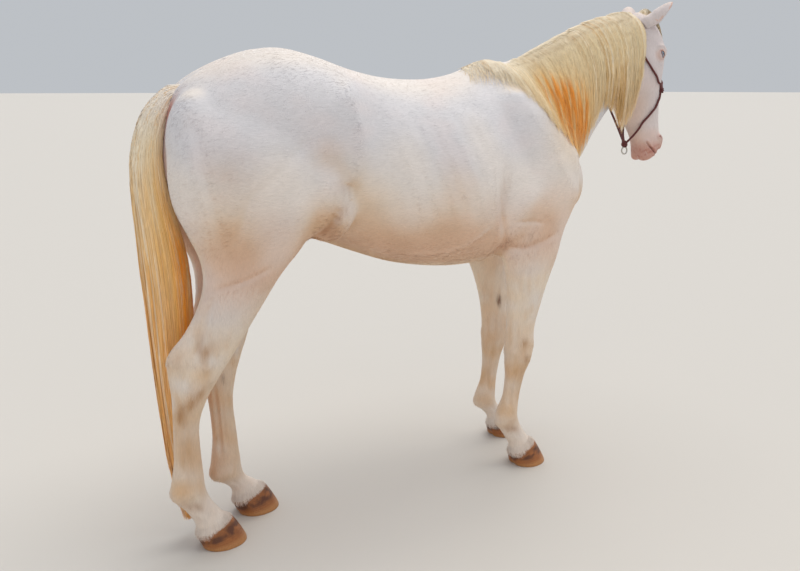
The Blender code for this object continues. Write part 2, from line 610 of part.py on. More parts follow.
def sheet(name, outer, inner):
    """A closed sheet between two grids of points of the same size."""
    bm = bmesh.new()
    top, bottom = ([[bm.verts.new(point) for point in row] for row in grid] for grid in (outer, inner))
    rows, columns = len(top), len(top[0])
    for k in range(rows - 1):
        for i in range(columns - 1):
            bm.faces.new((top[k][i], top[k][i + 1], top[k + 1][i + 1], top[k + 1][i]))
            bm.faces.new((bottom[k + 1][i], bottom[k + 1][i + 1], bottom[k][i + 1], bottom[k][i]))
        for i in (0, columns - 1):
            bm.faces.new((top[k][i], top[k + 1][i], bottom[k + 1][i], bottom[k][i]))
    for i in range(columns - 1):
        for k in (0, rows - 1):
            bm.faces.new((top[k][i + 1], top[k][i], bottom[k][i], bottom[k][i + 1]))
    bmesh.ops.recalc_face_normals(bm, faces=bm.faces)
    return to_mesh(bm, name)


def mane(group, skin, cords, tree, paint):
    """The mane: a sheet of hair rooted along the crest and lying on the right side of the neck."""
    outer, inner = [], []
    for crest_x, crest_z, end_x, end_z, thick in np.array(MANE):
        over = [(crest_x, 0.020, crest_z - 0.040), (crest_x, 0.024, crest_z - 0.016)]
        under = [(crest_x, 0.008, crest_z - 0.050), (crest_x, 0.008, crest_z - 0.030)]
        depth = 0.0
        for share in MANE_FALL:
            x = crest_x + (end_x - crest_x) * share
            z = crest_z + (end_z - crest_z) * share
            hit = tree.ray_cast(Vector((x, -1, z)), Vector((0, 1, 0)))[0]
            if hit and hit.y < 0.02:
                depth = min(hit.y, depth + 0.004)
            swell = thick * (0.30 + 0.70 * math.sin(math.pi * (0.20 + share * 0.74)) ** 0.7)
            over.append((x, depth - swell, z))
            under.append((x, depth + 0.006, z - 0.022 * (1 - share) ** 8))
        outer.append(over)
        inner.append(under)
    made = add(group, "mane", sheet("mane", outer, inner), paint)
    cut(made, skin)
    for cord in cords:
        cut(made, cord)
    return settle(made)


def forelock(group, skin, paint):
    """The forelock, lying on the forehead from between the ears."""
    made = add(group, "forelock", loft("forelock", rings_of(FORELOCK, 1, 10)), paint)
    cut(made, skin)
    return settle(made)


# ---- halter ------------------------------------------------------------------------------------------
# Guide points of the cords on the horse's right side, from end to end; the left side mirrors them.
NOSE_RIGHT = (1.240, -0.062, 1.384)
EAR_RIGHT = (1.105, -0.078, 1.600)
HEEL = (1.112, 0.0, 1.160)
CORD_GUIDES = {
    "cheek": [NOSE_RIGHT, (1.190, -0.085, 1.440), (1.130, -0.088, 1.510), EAR_RIGHT],
    "chin": [NOSE_RIGHT, (1.222, -0.060, 1.320), (1.165, -0.055, 1.255), (1.136, -0.034, 1.205), HEEL],
    "throat": [EAR_RIGHT, (1.060, -0.088, 1.520), (1.010, -0.088, 1.420), (1.000, -0.066, 1.345),
               (1.048, -0.034, 1.245), HEEL],
}
LEFT_THROAT = [(1.105, 0.078, 1.600), (1.062, 0.088, 1.520), (1.040, 0.088, 1.420), (1.062, 0.056, 1.335),
               (1.092, 0.030, 1.245), HEEL]
NOSE_BAND = [NOSE_RIGHT, (1.268, -0.044, 1.412), (1.292, 0.0, 1.438), (1.268, 0.044, 1.412),
             (1.240, 0.062, 1.384)]
CROWN = [EAR_RIGHT, (1.118, -0.050, 1.668), (1.122, 0.0, 1.705), (1.118, 0.050, 1.668),
         (1.105, 0.078, 1.600)]
CORD_STEP = 0.026          # distance between the points of a cord
HEEL_KNOT = 0.0155
RING_RADIUS, RING_WIRE = 0.0145, 0.0028


def cord_route(guides, tree, step=CORD_STEP):
    """A smooth route through the guide points, lifted clear of the skin."""
    route = smooth_rows(guides, 24)
    run = np.concatenate([[0], np.cumsum(np.linalg.norm(np.diff(route, axis=0), axis=1))])
    count = max(4, round(run[-1] / step))
    spaced = np.column_stack([np.interp(np.linspace(0, run[-1], count + 1), run, route[:, k])
                              for k in range(3)])
    lifted = []
    for point in spaced:
        place = Vector(point)
        spot, normal, _, distance = tree.find_nearest(place)
        height = (place - spot).dot(normal)
        lift = CORD + CORD_CLEAR
        if height < lift or distance < 2.2 * lift:
            place = spot + normal * lift
        lifted.append(place)
    lifted = np.array([place[:] for place in lifted])
    lifted[1:-1] = (lifted[:-2] + 2 * lifted[1:-1] + lifted[2:]) / 4
    for k, point in enumerate(lifted):
        spot, normal, _, distance = tree.find_nearest(Vector(point))
        height = (Vector(point) - spot).dot(normal)
        if height < CORD + CORD_CLEAR:
            lifted[k] = (spot + normal * (CORD + CORD_CLEAR))[:]
    return lifted


def cord_mesh(name, route, radius):
    """A round cord along the route, as a closed mesh."""
    curve = bpy.data.curves.new(name, "CURVE")
    curve.dimensions = "3D"
    curve.bevel_depth = radius
    curve.bevel_resolution = 1
    curve.use_fill_caps = True
    spline = curve.splines.new("POLY")
    spline.points.add(len(route) - 1)
    spline.points.foreach_set("co", np.column_stack([route, np.ones(len(route))]).ravel())
    piece = bpy.data.objects.new(name, curve)
    bpy.context.scene.collection.objects.link(piece)
    mesh = finished(piece)
    bpy.data.objects.remove(piece)
    bm = bmesh.new()
    bm.from_mesh(mesh)
    bmesh.ops.remove_doubles(bm, verts=bm.verts, dist=0.00001)
    bmesh.ops.recalc_face_normals(bm, faces=bm.faces)
    bm.to_mesh(mesh)
    bm.free()
    return mesh


def ball(name, middle, radius):
    """A small round knot."""
    bm = bmesh.new()
    bmesh.ops.create_icosphere(bm, subdivisions=2, radius=radius, matrix=Matrix.Translation(middle))
    return to_mesh(bm, name)


def ring_mesh(name, wire):
    """The ring that hangs in the heel knot."""
    middle = Vector(HEEL) - Vector((0, 0, HEEL_KNOT + RING_RADIUS * 0.62))
    bm = bmesh.new()
    grid = []
    for k in range(16):
        turn = k * 2 * math.pi / 16
        out = Vector((math.cos(turn), 0, math.sin(turn)))
        grid.append([bm.verts.new(middle + out * (RING_RADIUS + wire * math.cos(i * math.pi / 3))
                                  + Vector((0, wire * math.sin(i * math.pi / 3), 0))) for i in range(6)])
    for k in range(16):
        for i in range(6):
            near, far, side = grid[k], grid[(k + 1) % 16], (i + 1) % 6
            bm.faces.new((near[i], near[side], far[side], far[i]))
    bmesh.ops.recalc_face_normals(bm, faces=bm.faces)
    return to_mesh(bm, name)


def halter(group, tools, skin, tree, paint, steel):
    """The cord halter: nose band, chin, cheek and throat cords on each side, crown, knots and ring.
    Returns the shapes that the mane makes room for."""
    mirror = np.array([1, -1, 1])
    knots = {"halter_heel_knot": (Vector(HEEL), HEEL_KNOT)}
    for label, guide in (("nose_knot", NOSE_RIGHT), ("ear_knot", EAR_RIGHT)):
        for side, word in ((-1, "right"), (1, "left")):
            place = Vector((guide[0], -side * guide[1], guide[2]))
            spot, normal, _, _ = tree.find_nearest(place)
            knots[f"halter_{word}_{label}"] = (spot + normal * KNOT * 0.62, KNOT)
    hollows = []
    for name, (middle, radius) in knots.items():
        knot = add(group, name, ball(name, middle, radius), paint)
        cut(knot, skin)
        if name == "halter_heel_knot":
            cut(knot, cutter(tools, "ring_room", ring_mesh("ring_room", RING_WIRE + GAP)))
        settle(knot)
        hollows.append(cutter(tools, name + "_room", ball(name + "_room", middle, radius + 2 * GAP)))
    ends = {label: middle for label, (middle, _) in knots.items()}
    routes = {}
    for label, guides in CORD_GUIDES.items():
        for side, word in ((-1, "right"), (1, "left")):
            turned = np.array(guides) * (1 if side < 0 else mirror)
            routes[f"halter_{word}_{label}_cord"] = cord_route(turned, tree)
    routes["halter_left_throat_cord"] = cord_route(LEFT_THROAT, tree)
    routes["halter_nose_band"] = cord_route(NOSE_BAND, tree, CORD_STEP / 2)
    routes["halter_crown"] = cord_route(CROWN, tree, CORD_STEP / 2)
    rooms = []
    for name, route in routes.items():
        for end in (0, -1):
            near = min(ends.values(), key=lambda middle: (Vector(route[end]) - middle).length)
            route[end] = near[:]
        piece = add(group, name, cord_mesh(name, route, CORD), paint)
        for hollow in hollows:
            cut(piece, hollow)
        settle(piece)
        rooms.append(cutter(tools, name + "_room", cord_mesh(name + "_room", route, CORD + 2 * GAP)))
    add(group, "halter_ring", ring_mesh("halter_ring", RING_WIRE), steel)
    return [tool for tool in hollows + rooms if "right_ear" in tool.name or "right_cheek" in tool.name
            or "right_throat" in tool.name or "crown" in tool.name]


# ---- the horse ---------------------------------------------------------------------------------------
def stand_over_origin(horse):
    """Hang every part on an empty that puts the horse's middle over the origin."""
    anchor = bpy.data.objects.new("horse_anchor", None)
    horse.objects.link(anchor)
    anchor.location = STAND
    for part in horse.objects:
        if part is not anchor:
            part.parent = anchor


def main():
    clear_scene()
    horse = collection("horse")
    tools = collection("cutters")
    coat = material("coat", (0.80, 0.75, 0.69), 0.75)
    hair = material("hair", (0.78, 0.66, 0.42), 0.60)
    horn = material("hoof_horn", (0.36, 0.18, 0.07), 0.45)
    glass = material("eye", (0.25, 0.38, 0.50), 0.08)
    rope = material("halter_cord", (0.16, 0.02, 0.02), 0.70)
    steel = material("steel", (0.62, 0.62, 0.60), 0.30, 1.0)
    lump = welded_body(tools)
    skin = cutter(tools, "skin", grown(lump.data, GAP, "skin"))
    tree = BVHTree.FromPolygons([vert.co for vert in lump.data.vertices],
                                [face.vertices for face in lump.data.polygons])
    eyes(horse, tools, lump, tree, glass)
    part_flesh(horse, tools, lump, coat)
    for name, (rows, side, forward, outward, sink) in LEGS.items():
        hoof(horse, name + "_hoof", rows, side, forward, outward, horn)
    ear(horse, "right_ear", -1, skin, coat)
    ear(horse, "left_ear", 1, skin, coat)
    tail(horse, tools, skin, (1.16, 0.60), hair)
    forelock(horse, skin, hair)
    rooms = halter(horse, tools, skin, tree, rope, steel)
    mane(horse, skin, rooms, tree, hair)
    stand_over_origin(horse)


main()
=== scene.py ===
# %% [markdown]
# # A life-size model horse, dressed over its solid frame
#
# The real thing is a museum model: a cremello horse, near white with pink skin, standing at rest with its
# left feet a little ahead of its right ones, with a cord halter on.  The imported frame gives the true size
# and the place of every part.
# This lesson lays one seamless skin inside the solid flesh, then gives it eyes, hooves, a mane, a tail, a
# coat and the halter.  All lengths are metres.  Shapes are worked out in a working frame whose origin lies
# under the belly, and `STAND` moves them to the frame's own origin at the very end.

import math

import bmesh
import bpy
import numpy as np
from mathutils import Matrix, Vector
from mathutils.bvhtree import BVHTree


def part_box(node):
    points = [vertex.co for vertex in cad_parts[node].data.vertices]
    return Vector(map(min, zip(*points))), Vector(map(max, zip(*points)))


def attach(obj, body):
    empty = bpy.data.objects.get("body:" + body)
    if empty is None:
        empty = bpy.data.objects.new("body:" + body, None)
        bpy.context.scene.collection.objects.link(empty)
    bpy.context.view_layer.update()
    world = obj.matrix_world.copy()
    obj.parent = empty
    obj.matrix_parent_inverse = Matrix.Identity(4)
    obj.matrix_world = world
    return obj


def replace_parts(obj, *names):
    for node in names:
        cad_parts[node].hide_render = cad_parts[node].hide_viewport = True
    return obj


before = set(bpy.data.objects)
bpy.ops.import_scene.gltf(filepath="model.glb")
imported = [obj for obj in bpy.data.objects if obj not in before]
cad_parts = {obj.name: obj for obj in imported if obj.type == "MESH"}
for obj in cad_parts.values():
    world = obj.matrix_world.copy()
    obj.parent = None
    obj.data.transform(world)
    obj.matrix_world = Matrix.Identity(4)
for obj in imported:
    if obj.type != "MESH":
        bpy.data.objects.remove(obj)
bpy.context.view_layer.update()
STAND = np.array([-0.235, 0.0, 0.0])
BODY = "root"

# %% [markdown]
# ## Camera, light and floor
#
# The camera stands to the right of the horse and a little behind it, at the height of a person's chest, so
# that the horse looks away from it.  It dips a little, and a small shift keeps the legs nearly upright in
# the picture.  One broad softbox overhead, one wide fill on the camera's side, a weak rim light from the far
# side and an even grey surround light a white coat without hard shadows.

# %% The camera
CAMERA_PLACE = (-1.603, -2.546, 1.388)
CAMERA_YAW, CAMERA_DIP = math.radians(32.973), math.radians(6.788)
SENSOR_WIDTH, FOCAL_LENGTH = 36, 38.03      # both in millimetres
CAMERA_SHIFT = (-0.070, -0.120)             # shares of the sensor's width

camera = bpy.data.objects.new("camera", bpy.data.cameras.new("camera"))
bpy.context.scene.collection.objects.link(camera)
bpy.context.scene.camera = camera
camera.location = CAMERA_PLACE
camera.rotation_euler = (math.radians(90) - CAMERA_DIP, 0, -CAMERA_YAW)
camera.data.sensor_width, camera.data.lens = SENSOR_WIDTH, FOCAL_LENGTH
camera.data.shift_x, camera.data.shift_y = CAMERA_SHIFT
print("camera at", CAMERA_PLACE)

# %% Small helpers: colour, nodes, meshes
SIDES = ((-1, "right"), (1, "left"))        # sign of y and name of each side of the horse


def linear(code):
    """An sRGB hex colour as linear RGBA: c/12.92 in the dark, ((c + 0.055)/1.055)^2.4 elsewhere."""
    channel = np.array([int(code[k:k + 2], 16) for k in (1, 3, 5)]) / 255
    value = np.where(channel <= 0.04045, channel / 12.92, ((channel + 0.055) / 1.055) ** 2.4)
    return (*(float(x) for x in value), 1.0)


def rgb(code):
    """The three linear channels of an sRGB hex colour."""
    return linear(code)[:3]


def add_node(tree, kind, inputs=None, **settings):
    """A shader node with its settings, and its inputs set or linked by name or number."""
    made = tree.nodes.new("ShaderNode" + kind)
    for name, value in settings.items():
        setattr(made, name, value)
    for name, value in (inputs or {}).items():
        if isinstance(value, bpy.types.NodeSocket):
            tree.links.new(value, made.inputs[name])
        else:
            made.inputs[name].default_value = value
    return made


def new_material(name, **sockets):
    """A material and its Principled shader, with constant sockets set on the shader itself."""
    made = bpy.data.materials.new(name)
    made.use_nodes = True
    shader = made.node_tree.nodes["Principled BSDF"]
    for socket, value in sockets.items():
        shader.inputs[socket.replace("_", " ")].default_value = value
    return made, made.node_tree, shader


def tint_socket(tree):
    """The colour kept in the attribute `tint` of each point."""
    return add_node(tree, "Attribute", attribute_name="tint", attribute_type="GEOMETRY").outputs["Color"]


def object_noise(tree, scale, detail, turn=(0.0, 0.0, 0.0)):
    """Noise on Object coordinates, stretched: `scale` is how many lumps fit in a metre along x, y and z."""
    where = add_node(tree, "TexCoord").outputs["Object"]
    stretched = add_node(tree, "Mapping", {"Vector": where, "Scale": scale, "Rotation": turn})
    noise = add_node(tree, "TexNoise", {"Vector": stretched.outputs["Vector"], "Scale": 1.0, "Detail": detail})
    return noise.outputs["Fac"]


def shaded_tint(tree, shader, pattern, dark, light):
    """The base colour: the tint times a shade that runs from `dark` to `light` with the pattern."""
    shade = add_node(tree, "MapRange", {"Value": pattern, "From Min": 0.30, "From Max": 0.70,
                                        "To Min": dark, "To Max": light})
    factors = {0: tint_socket(tree), 1: shade.outputs["Result"]}
    toned = add_node(tree, "VectorMath", factors, operation="MULTIPLY")
    tree.links.new(toned.outputs["Vector"], shader.inputs["Base Color"])


def bumped(tree, shader, height, strength, distance):
    """The shader's normal bent by the height, whose full rise is `distance` metres."""
    bump = add_node(tree, "Bump", {"Height": height, "Strength": strength, "Distance": distance})
    tree.links.new(bump.outputs["Normal"], shader.inputs["Normal"])


def new_mesh(name, points, faces, smooth=True):
    """A mesh from an (n, 3) array of points and an (m, k) array of faces with k corners each."""
    mesh = bpy.data.meshes.new(name)
    count, corners = faces.shape
    mesh.vertices.add(len(points))
    mesh.vertices.foreach_set("co", np.asarray(points, np.float32).ravel())
    mesh.loops.add(count * corners)
    mesh.loops.foreach_set("vertex_index", faces.astype(np.int32).ravel())
    mesh.polygons.add(count)
    mesh.polygons.foreach_set("loop_start", np.arange(count, dtype=np.int32) * corners)
    mesh.polygons.foreach_set("use_smooth", np.full(count, smooth))
    mesh.update(calc_edges=True)
    return mesh


def to_object(mesh):
    """The mesh as an object at the origin."""
    made = bpy.data.objects.new(mesh.name, mesh)
    bpy.context.scene.collection.objects.link(made)
    return made


def points_of(mesh):
    """All points of the mesh as an (n, 3) array."""
    places = np.zeros(len(mesh.vertices) * 3, np.float32)
    mesh.vertices.foreach_get("co", places)
    return places.reshape(-1, 3).astype(float)


def normals_of(mesh):
    """The normal at each point of the mesh."""
    normals = np.zeros(len(mesh.vertices) * 3, np.float32)
    mesh.vertex_normals.foreach_get("vector", normals)
    return normals.reshape(-1, 3).astype(float)


def move_points(mesh, places):
    """Put the points of the mesh at these places."""
    mesh.vertices.foreach_set("co", places.astype(np.float32).ravel())
    mesh.update()


def worked(piece):
    """The piece's mesh with its modifiers worked in; the piece itself is removed."""
    bpy.context.view_layer.update()
    mesh = bpy.data.meshes.new_from_object(piece.evaluated_get(bpy.context.evaluated_depsgraph_get()))
    bpy.data.objects.remove(piece)
    return mesh


def finish_piece(mesh, name, paint):
    """The mesh moved to the frame's origin, with its material, riding on the body."""
    move_points(mesh, points_of(mesh) + STAND)
    mesh.name = name
    mesh.materials.clear()
    mesh.materials.append(paint)
    piece = to_object(mesh)
    piece.name = name
    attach(piece, BODY)
    return piece


def set_tint(mesh, colors):
    """A linear RGB colour for each point, kept as the attribute `tint` that the materials read."""
    layer = mesh.attributes.new("tint", "FLOAT_COLOR", "POINT")
    layer.data.foreach_set("color", np.column_stack([colors, np.ones(len(colors))]).astype(np.float32).ravel())


def folded(points):
    """The points with y folded to the left side, since the horse's two sides mirror each other."""
    return np.column_stack([points[:, 0], np.abs(points[:, 1]), points[:, 2]])


def smooth_step(value, low, high):
    """0 below `low`, 1 above `high`, with a soft run between."""
    t = np.clip((value - low) / (high - low), 0, 1)
    return t * t * (3 - 2 * t)


def unit(vectors):
    """The vectors scaled to length one."""
    return vectors / np.maximum(np.linalg.norm(vectors, axis=-1, keepdims=True), 1e-12)


def cloud(points, size, seed, waves=14):
    """Soft noise of about -1 to 1 with lumps `size` metres wide: a sum of plane waves in random directions."""
    rng = np.random.default_rng(seed)
    ways = unit(rng.normal(size=(waves, 3))) * rng.uniform(0.6, 1.5, (waves, 1)) * (2 * math.pi / (2 * size))
    phases = rng.uniform(0, 2 * math.pi, waves)
    return np.cos(points @ ways.T + phases).sum(axis=1) / math.sqrt(waves)


# %% The floor and the lights
FLOOR_REACH = 300.0        # so far that its edge melts into the backdrop
floor_corners = FLOOR_REACH * np.array([(-1, -1, 0), (1, -1, 0), (1, 1, 0), (-1, 1, 0)], float)
floor_mesh = new_mesh("floor", floor_corners, np.array([[0, 1, 2, 3]]), smooth=False)
floor = to_object(floor_mesh)
# Matt floor paint, as on a studio's sweep.
floor_paint = new_material("painted_floor", Roughness=0.90, Base_Color=linear("#cfccc7"))[0]
floor_mesh.materials.append(floor_paint)

world = bpy.data.worlds.new("studio")
bpy.context.scene.world = world
world.use_nodes = True
backdrop = world.node_tree.nodes["Background"]
backdrop.inputs["Color"].default_value = linear("#c4c8cd")
backdrop.inputs["Strength"].default_value = 0.92
bpy.context.scene.view_settings.view_transform = "Standard"

# Each light shines from far away, so the floor is evenly lit: direction it comes from, how wide it looks in
# degrees, strength and colour.
LIGHTS = {
    "key": ((0.34, 0.08, 1.00), 60, 1.80, "#fff8ee"),
    "fill": ((-0.40, -0.80, 0.40), 60, 0.34, "#fff4e6"),
    "rim": ((0.45, 0.80, 0.45), 40, 0.40, "#f4f5ff"),
}
for name, (place, wide, strong, color) in LIGHTS.items():
    lamp = bpy.data.lights.new(name, "SUN")
    lamp.angle, lamp.energy = math.radians(wide), strong
    lamp.color = rgb(color)
    light = bpy.data.objects.new(name, lamp)
    bpy.context.scene.collection.objects.link(light)
    light.rotation_euler = (-Vector(place)).to_track_quat("-Z", "Y").to_euler()
print("lights:", ", ".join(LIGHTS))

# %% [markdown]
# ## The flesh
#
# A horse's body reads as a few long tapering forms: trunk, neck, head and four legs.  Each is a loft: rows
# of ovals that run from a front or top point A to a back or bottom point B.  Sculpting by hand would be
# freer, but rows of measured sections keep the true proportions, and they are the same rows that the
# solid frame was cut from.  Round muscles are added as ellipsoids, and a voxel remesh welds everything into
# one closed body without seams.

# %% Sections of the flesh
# Each row: A (x, z), B (x, z), middle y, half width, how far the widest place lies from A towards B, and
# the fullness of the outline on the side of A and of B.
SWING_TOP = {"hind": 1.10, "fore": 0.95}    # height where a leg starts to swing from square
SWING_END = {"hind": 0.30, "fore": 0.45}    # below this it stands in its own place
FETLOCK, FETLOCK_HALF = 0.20, 0.02          # height of a fetlock, and half the height that sinks as one
PASTERN_FIRM, FETLOCK_BEND = 0.085, 0.60    # between these heights a sinking fetlock moves the leg
TRUNK = [
    (-0.735, 1.345, -0.755, 1.200, 0, 0.060, 0.50, 2.0, 2.0),
    (-0.700, 1.400, -0.740, 1.100, 0, 0.150, 0.50, 2.0, 2.0),
    (-0.620, 1.455, -0.670, 1.020, 0, 0.215, 0.48, 2.1, 2.0),
    (-0.500, 1.505, -0.550, 0.970, 0, 0.252, 0.45, 2.2, 2.0),
    (-0.400, 1.520, -0.420, 0.930, 0, 0.268, 0.42, 2.3, 2.1),
    (-0.280, 1.495, -0.280, 0.900, 0, 0.268, 0.40, 2.2, 2.1),
    (-0.160, 1.458, -0.140, 0.845, 0, 0.264, 0.45, 2.1, 2.1),
    (-0.020, 1.430, 0.000, 0.795, 0, 0.277, 0.52, 2.0, 2.2),
    (0.140, 1.425, 0.160, 0.765, 0, 0.285, 0.55, 1.9, 2.2),
    (0.270, 1.447, 0.300, 0.757, 0, 0.270, 0.56, 1.8, 2.1),
    (0.370, 1.488, 0.420, 0.765, 0, 0.245, 0.58, 1.6, 2.0),
    (0.450, 1.495, 0.530, 0.790, 0, 0.230, 0.58, 1.6, 2.1),
    (0.540, 1.455, 0.630, 0.835, 0, 0.218, 0.56, 1.8, 2.1),
    (0.620, 1.370, 0.705, 0.890, 0, 0.200, 0.52, 2.0, 2.2),
    (0.695, 1.260, 0.760, 0.960, 0, 0.165, 0.50, 2.0, 2.2),
    (0.745, 1.180, 0.778, 1.050, 0, 0.080, 0.50, 2.0, 2.0),
]
NECK = [
    (0.300, 1.430, 0.620, 0.930, 0, 0.150, 0.55, 1.7, 2.0),
    (0.430, 1.480, 0.740, 1.020, 0, 0.155, 0.58, 1.6, 2.0),
    (0.550, 1.505, 0.830, 1.100, 0, 0.138, 0.58, 1.6, 2.0),
    (0.680, 1.565, 0.900, 1.190, 0, 0.115, 0.56, 1.7, 2.0),
    (0.820, 1.625, 0.965, 1.265, 0, 0.100, 0.54, 1.8, 2.0),
    (0.960, 1.670, 1.030, 1.330, 0, 0.090, 0.52, 1.9, 2.0),
    (1.080, 1.687, 1.090, 1.375, 0, 0.083, 0.50, 2.0, 2.0),
    (1.160, 1.675, 1.150, 1.430, 0, 0.068, 0.50, 2.0, 2.0),
]
HEAD = [
    (1.165, 1.703, 1.105, 1.655, 0, 0.032, 0.50, 2.0, 2.0),
    (1.212, 1.683, 1.075, 1.570, 0, 0.064, 0.45, 2.2, 2.0),
    (1.248, 1.640, 1.055, 1.490, 0, 0.084, 0.38, 2.4, 2.0),
    (1.268, 1.585, 1.040, 1.425, 0, 0.095, 0.32, 2.6, 2.1),
    (1.277, 1.515, 1.045, 1.365, 0, 0.094, 0.35, 2.5, 2.1),
    (1.281, 1.440, 1.068, 1.312, 0, 0.080, 0.40, 2.3, 2.0),
    (1.284, 1.360, 1.103, 1.258, 0, 0.064, 0.42, 2.1, 2.0),
    (1.287, 1.285, 1.137, 1.208, 0, 0.053, 0.45, 2.1, 2.0),
    (1.290, 1.215, 1.160, 1.162, 0, 0.050, 0.48, 2.2, 2.0),
    (1.287, 1.165, 1.168, 1.120, 0, 0.054, 0.48, 2.3, 2.1),
    (1.270, 1.122, 1.180, 1.094, 0, 0.048, 0.48, 2.3, 2.1),
    (1.244, 1.100, 1.202, 1.084, 0, 0.026, 0.50, 2.0, 2.0),
]
HIND_LEG = [
    (-0.330, 1.330, -0.700, 1.330, 0.115, 0.115, 0.50, 2.0, 2.0),
    (-0.275, 1.230, -0.752, 1.250, 0.130, 0.137, 0.50, 2.2, 2.2),
    (-0.258, 1.130, -0.768, 1.150, 0.136, 0.140, 0.48, 2.2, 2.2),
    (-0.272, 1.050, -0.757, 1.055, 0.140, 0.134, 0.45, 2.2, 2.1),
    (-0.305, 0.980, -0.722, 0.975, 0.143, 0.118, 0.42, 2.1, 2.0),
    (-0.372, 0.905, -0.686, 0.900, 0.143, 0.097, 0.42, 2.0, 2.0),
    (-0.434, 0.830, -0.672, 0.825, 0.139, 0.080, 0.42, 2.0, 2.0),
    (-0.482, 0.745, -0.688, 0.750, 0.131, 0.066, 0.40, 2.0, 1.9),
    (-0.524, 0.665, -0.722, 0.680, 0.122, 0.055, 0.38, 2.0, 1.7),
    (-0.564, 0.595, -0.758, 0.628, 0.115, 0.050, 0.36, 2.2, 1.8),
    (-0.606, 0.530, -0.759, 0.560, 0.112, 0.050, 0.42, 2.2, 2.0),
    (-0.641, 0.465, -0.747, 0.488, 0.109, 0.044, 0.44, 2.1, 2.0),
    (-0.660, 0.395, -0.743, 0.405, 0.107, 0.034, 0.42, 2.0, 2.0),
    (-0.656, 0.300, -0.742, 0.300, 0.105, 0.032, 0.42, 2.0, 2.0),
    (-0.650, 0.235, -0.749, 0.235, 0.102, 0.038, 0.45, 2.1, 2.0),
    (-0.646, 0.195, -0.752, 0.185, 0.100, 0.039, 0.45, 2.1, 2.0),
    (-0.632, 0.155, -0.716, 0.132, 0.100, 0.032, 0.45, 2.0, 2.0),
    (-0.606, 0.115, -0.688, 0.088, 0.100, 0.034, 0.45, 2.0, 2.0),
    (-0.580, 0.080, -0.682, 0.050, 0.100, 0.043, 0.45, 2.0, 2.1),
    (-0.566, 0.040, -0.672, 0.018, 0.100, 0.044, 0.45, 2.0, 2.1),
]
FORE_LEG = [
    (0.480, 1.400, 0.360, 1.370, 0.125, 0.050, 0.50, 2.0, 2.0),
    (0.590, 1.300, 0.330, 1.230, 0.145, 0.072, 0.50, 2.0, 2.0),
    (0.680, 1.180, 0.325, 1.090, 0.158, 0.080, 0.50, 2.0, 2.0),
    (0.715, 1.070, 0.328, 0.990, 0.162, 0.084, 0.48, 2.0, 2.0),
    (0.692, 0.965, 0.342, 0.900, 0.162, 0.083, 0.48, 2.0, 2.0),
    (0.650, 0.875, 0.362, 0.835, 0.158, 0.076, 0.48, 2.0, 1.9),
    (0.621, 0.790, 0.388, 0.765, 0.152, 0.068, 0.45, 2.0, 1.9),
    (0.588, 0.700, 0.406, 0.690, 0.145, 0.060, 0.42, 2.0, 1.9),
    (0.560, 0.610, 0.412, 0.605, 0.138, 0.051, 0.42, 2.0, 1.9),
    (0.536, 0.525, 0.412, 0.525, 0.133, 0.043, 0.42, 2.1, 1.9),
    (0.526, 0.455, 0.412, 0.460, 0.130, 0.045, 0.40, 2.4, 2.0),
    (0.516, 0.400, 0.410, 0.400, 0.130, 0.044, 0.40, 2.4, 2.0),
    (0.496, 0.350, 0.412, 0.350, 0.129, 0.034, 0.42, 2.1, 2.0),
    (0.479, 0.275, 0.401, 0.275, 0.127, 0.026, 0.42, 2.0, 2.0),
    (0.470, 0.225, 0.378, 0.222, 0.125, 0.033, 0.45, 2.1, 2.0),
    (0.468, 0.188, 0.374, 0.178, 0.125, 0.036, 0.45, 2.1, 2.0),
    (0.486, 0.148, 0.406, 0.125, 0.125, 0.031, 0.45, 2.0, 2.0),
    (0.512, 0.108, 0.432, 0.082, 0.125, 0.033, 0.45, 2.0, 2.0),
    (0.536, 0.076, 0.440, 0.047, 0.125, 0.042, 0.45, 2.0, 2.1),
    (0.550, 0.038, 0.450, 0.016, 0.125, 0.043, 0.45, 2.0, 2.1),
]
LEG_ROWS = {"hind": HIND_LEG, "fore": FORE_LEG}
# Each leg: its kind, its side, how far its foot stands forward and outward of square, and how far its
# fetlock sinks under the weight it carries.
LEGS = {
    "right_hind": ("hind", -1, -0.030, -0.015, 0.000),
    "left_hind": ("hind", 1, 0.132, -0.036, 0.036),
    "right_fore": ("fore", -1, -0.006, 0.012, 0.000),
    "left_fore": ("fore", 1, 0.080, 0.000, 0.030),
}
# Rounded muscles and bones, one on each side: middle, half axes, and a turn about Y in degrees.
MUSCLES = [
    ((1.214, 0.072, 1.540), (0.046, 0.030, 0.040), 0),      # brow
    ((1.118, 0.046, 1.425), (0.078, 0.044, 0.104), 28),     # cheek
    ((1.262, 0.030, 1.172), (0.030, 0.026, 0.042), 0),      # nostril
    ((0.690, 0.090, 1.060), (0.095, 0.088, 0.140), -15),    # breast
    ((0.405, 0.182, 0.985), (0.125, 0.070, 0.165), 35),     # triceps
    ((0.640, 0.150, 1.110), (0.085, 0.075, 0.110), 0),      # point of the shoulder
    ((-0.340, 0.195, 1.080), (0.105, 0.072, 0.170), -25),   # stifle
    ((-0.650, 0.110, 1.200), (0.110, 0.110, 0.190), -10),   # buttock
]

# Each hoof: toe and heel x on the floor, then front and heel point (x, z) of the coronet, and the half
# width on the floor and at the coronet.
HOOVES = {
    "hind": (-0.525, -0.665, (-0.576, 0.086), (-0.684, 0.045), 0.062, 0.0455),
    "fore": (0.587, 0.452, (0.537, 0.088), (0.436, 0.047), 0.065, 0.0455),
}

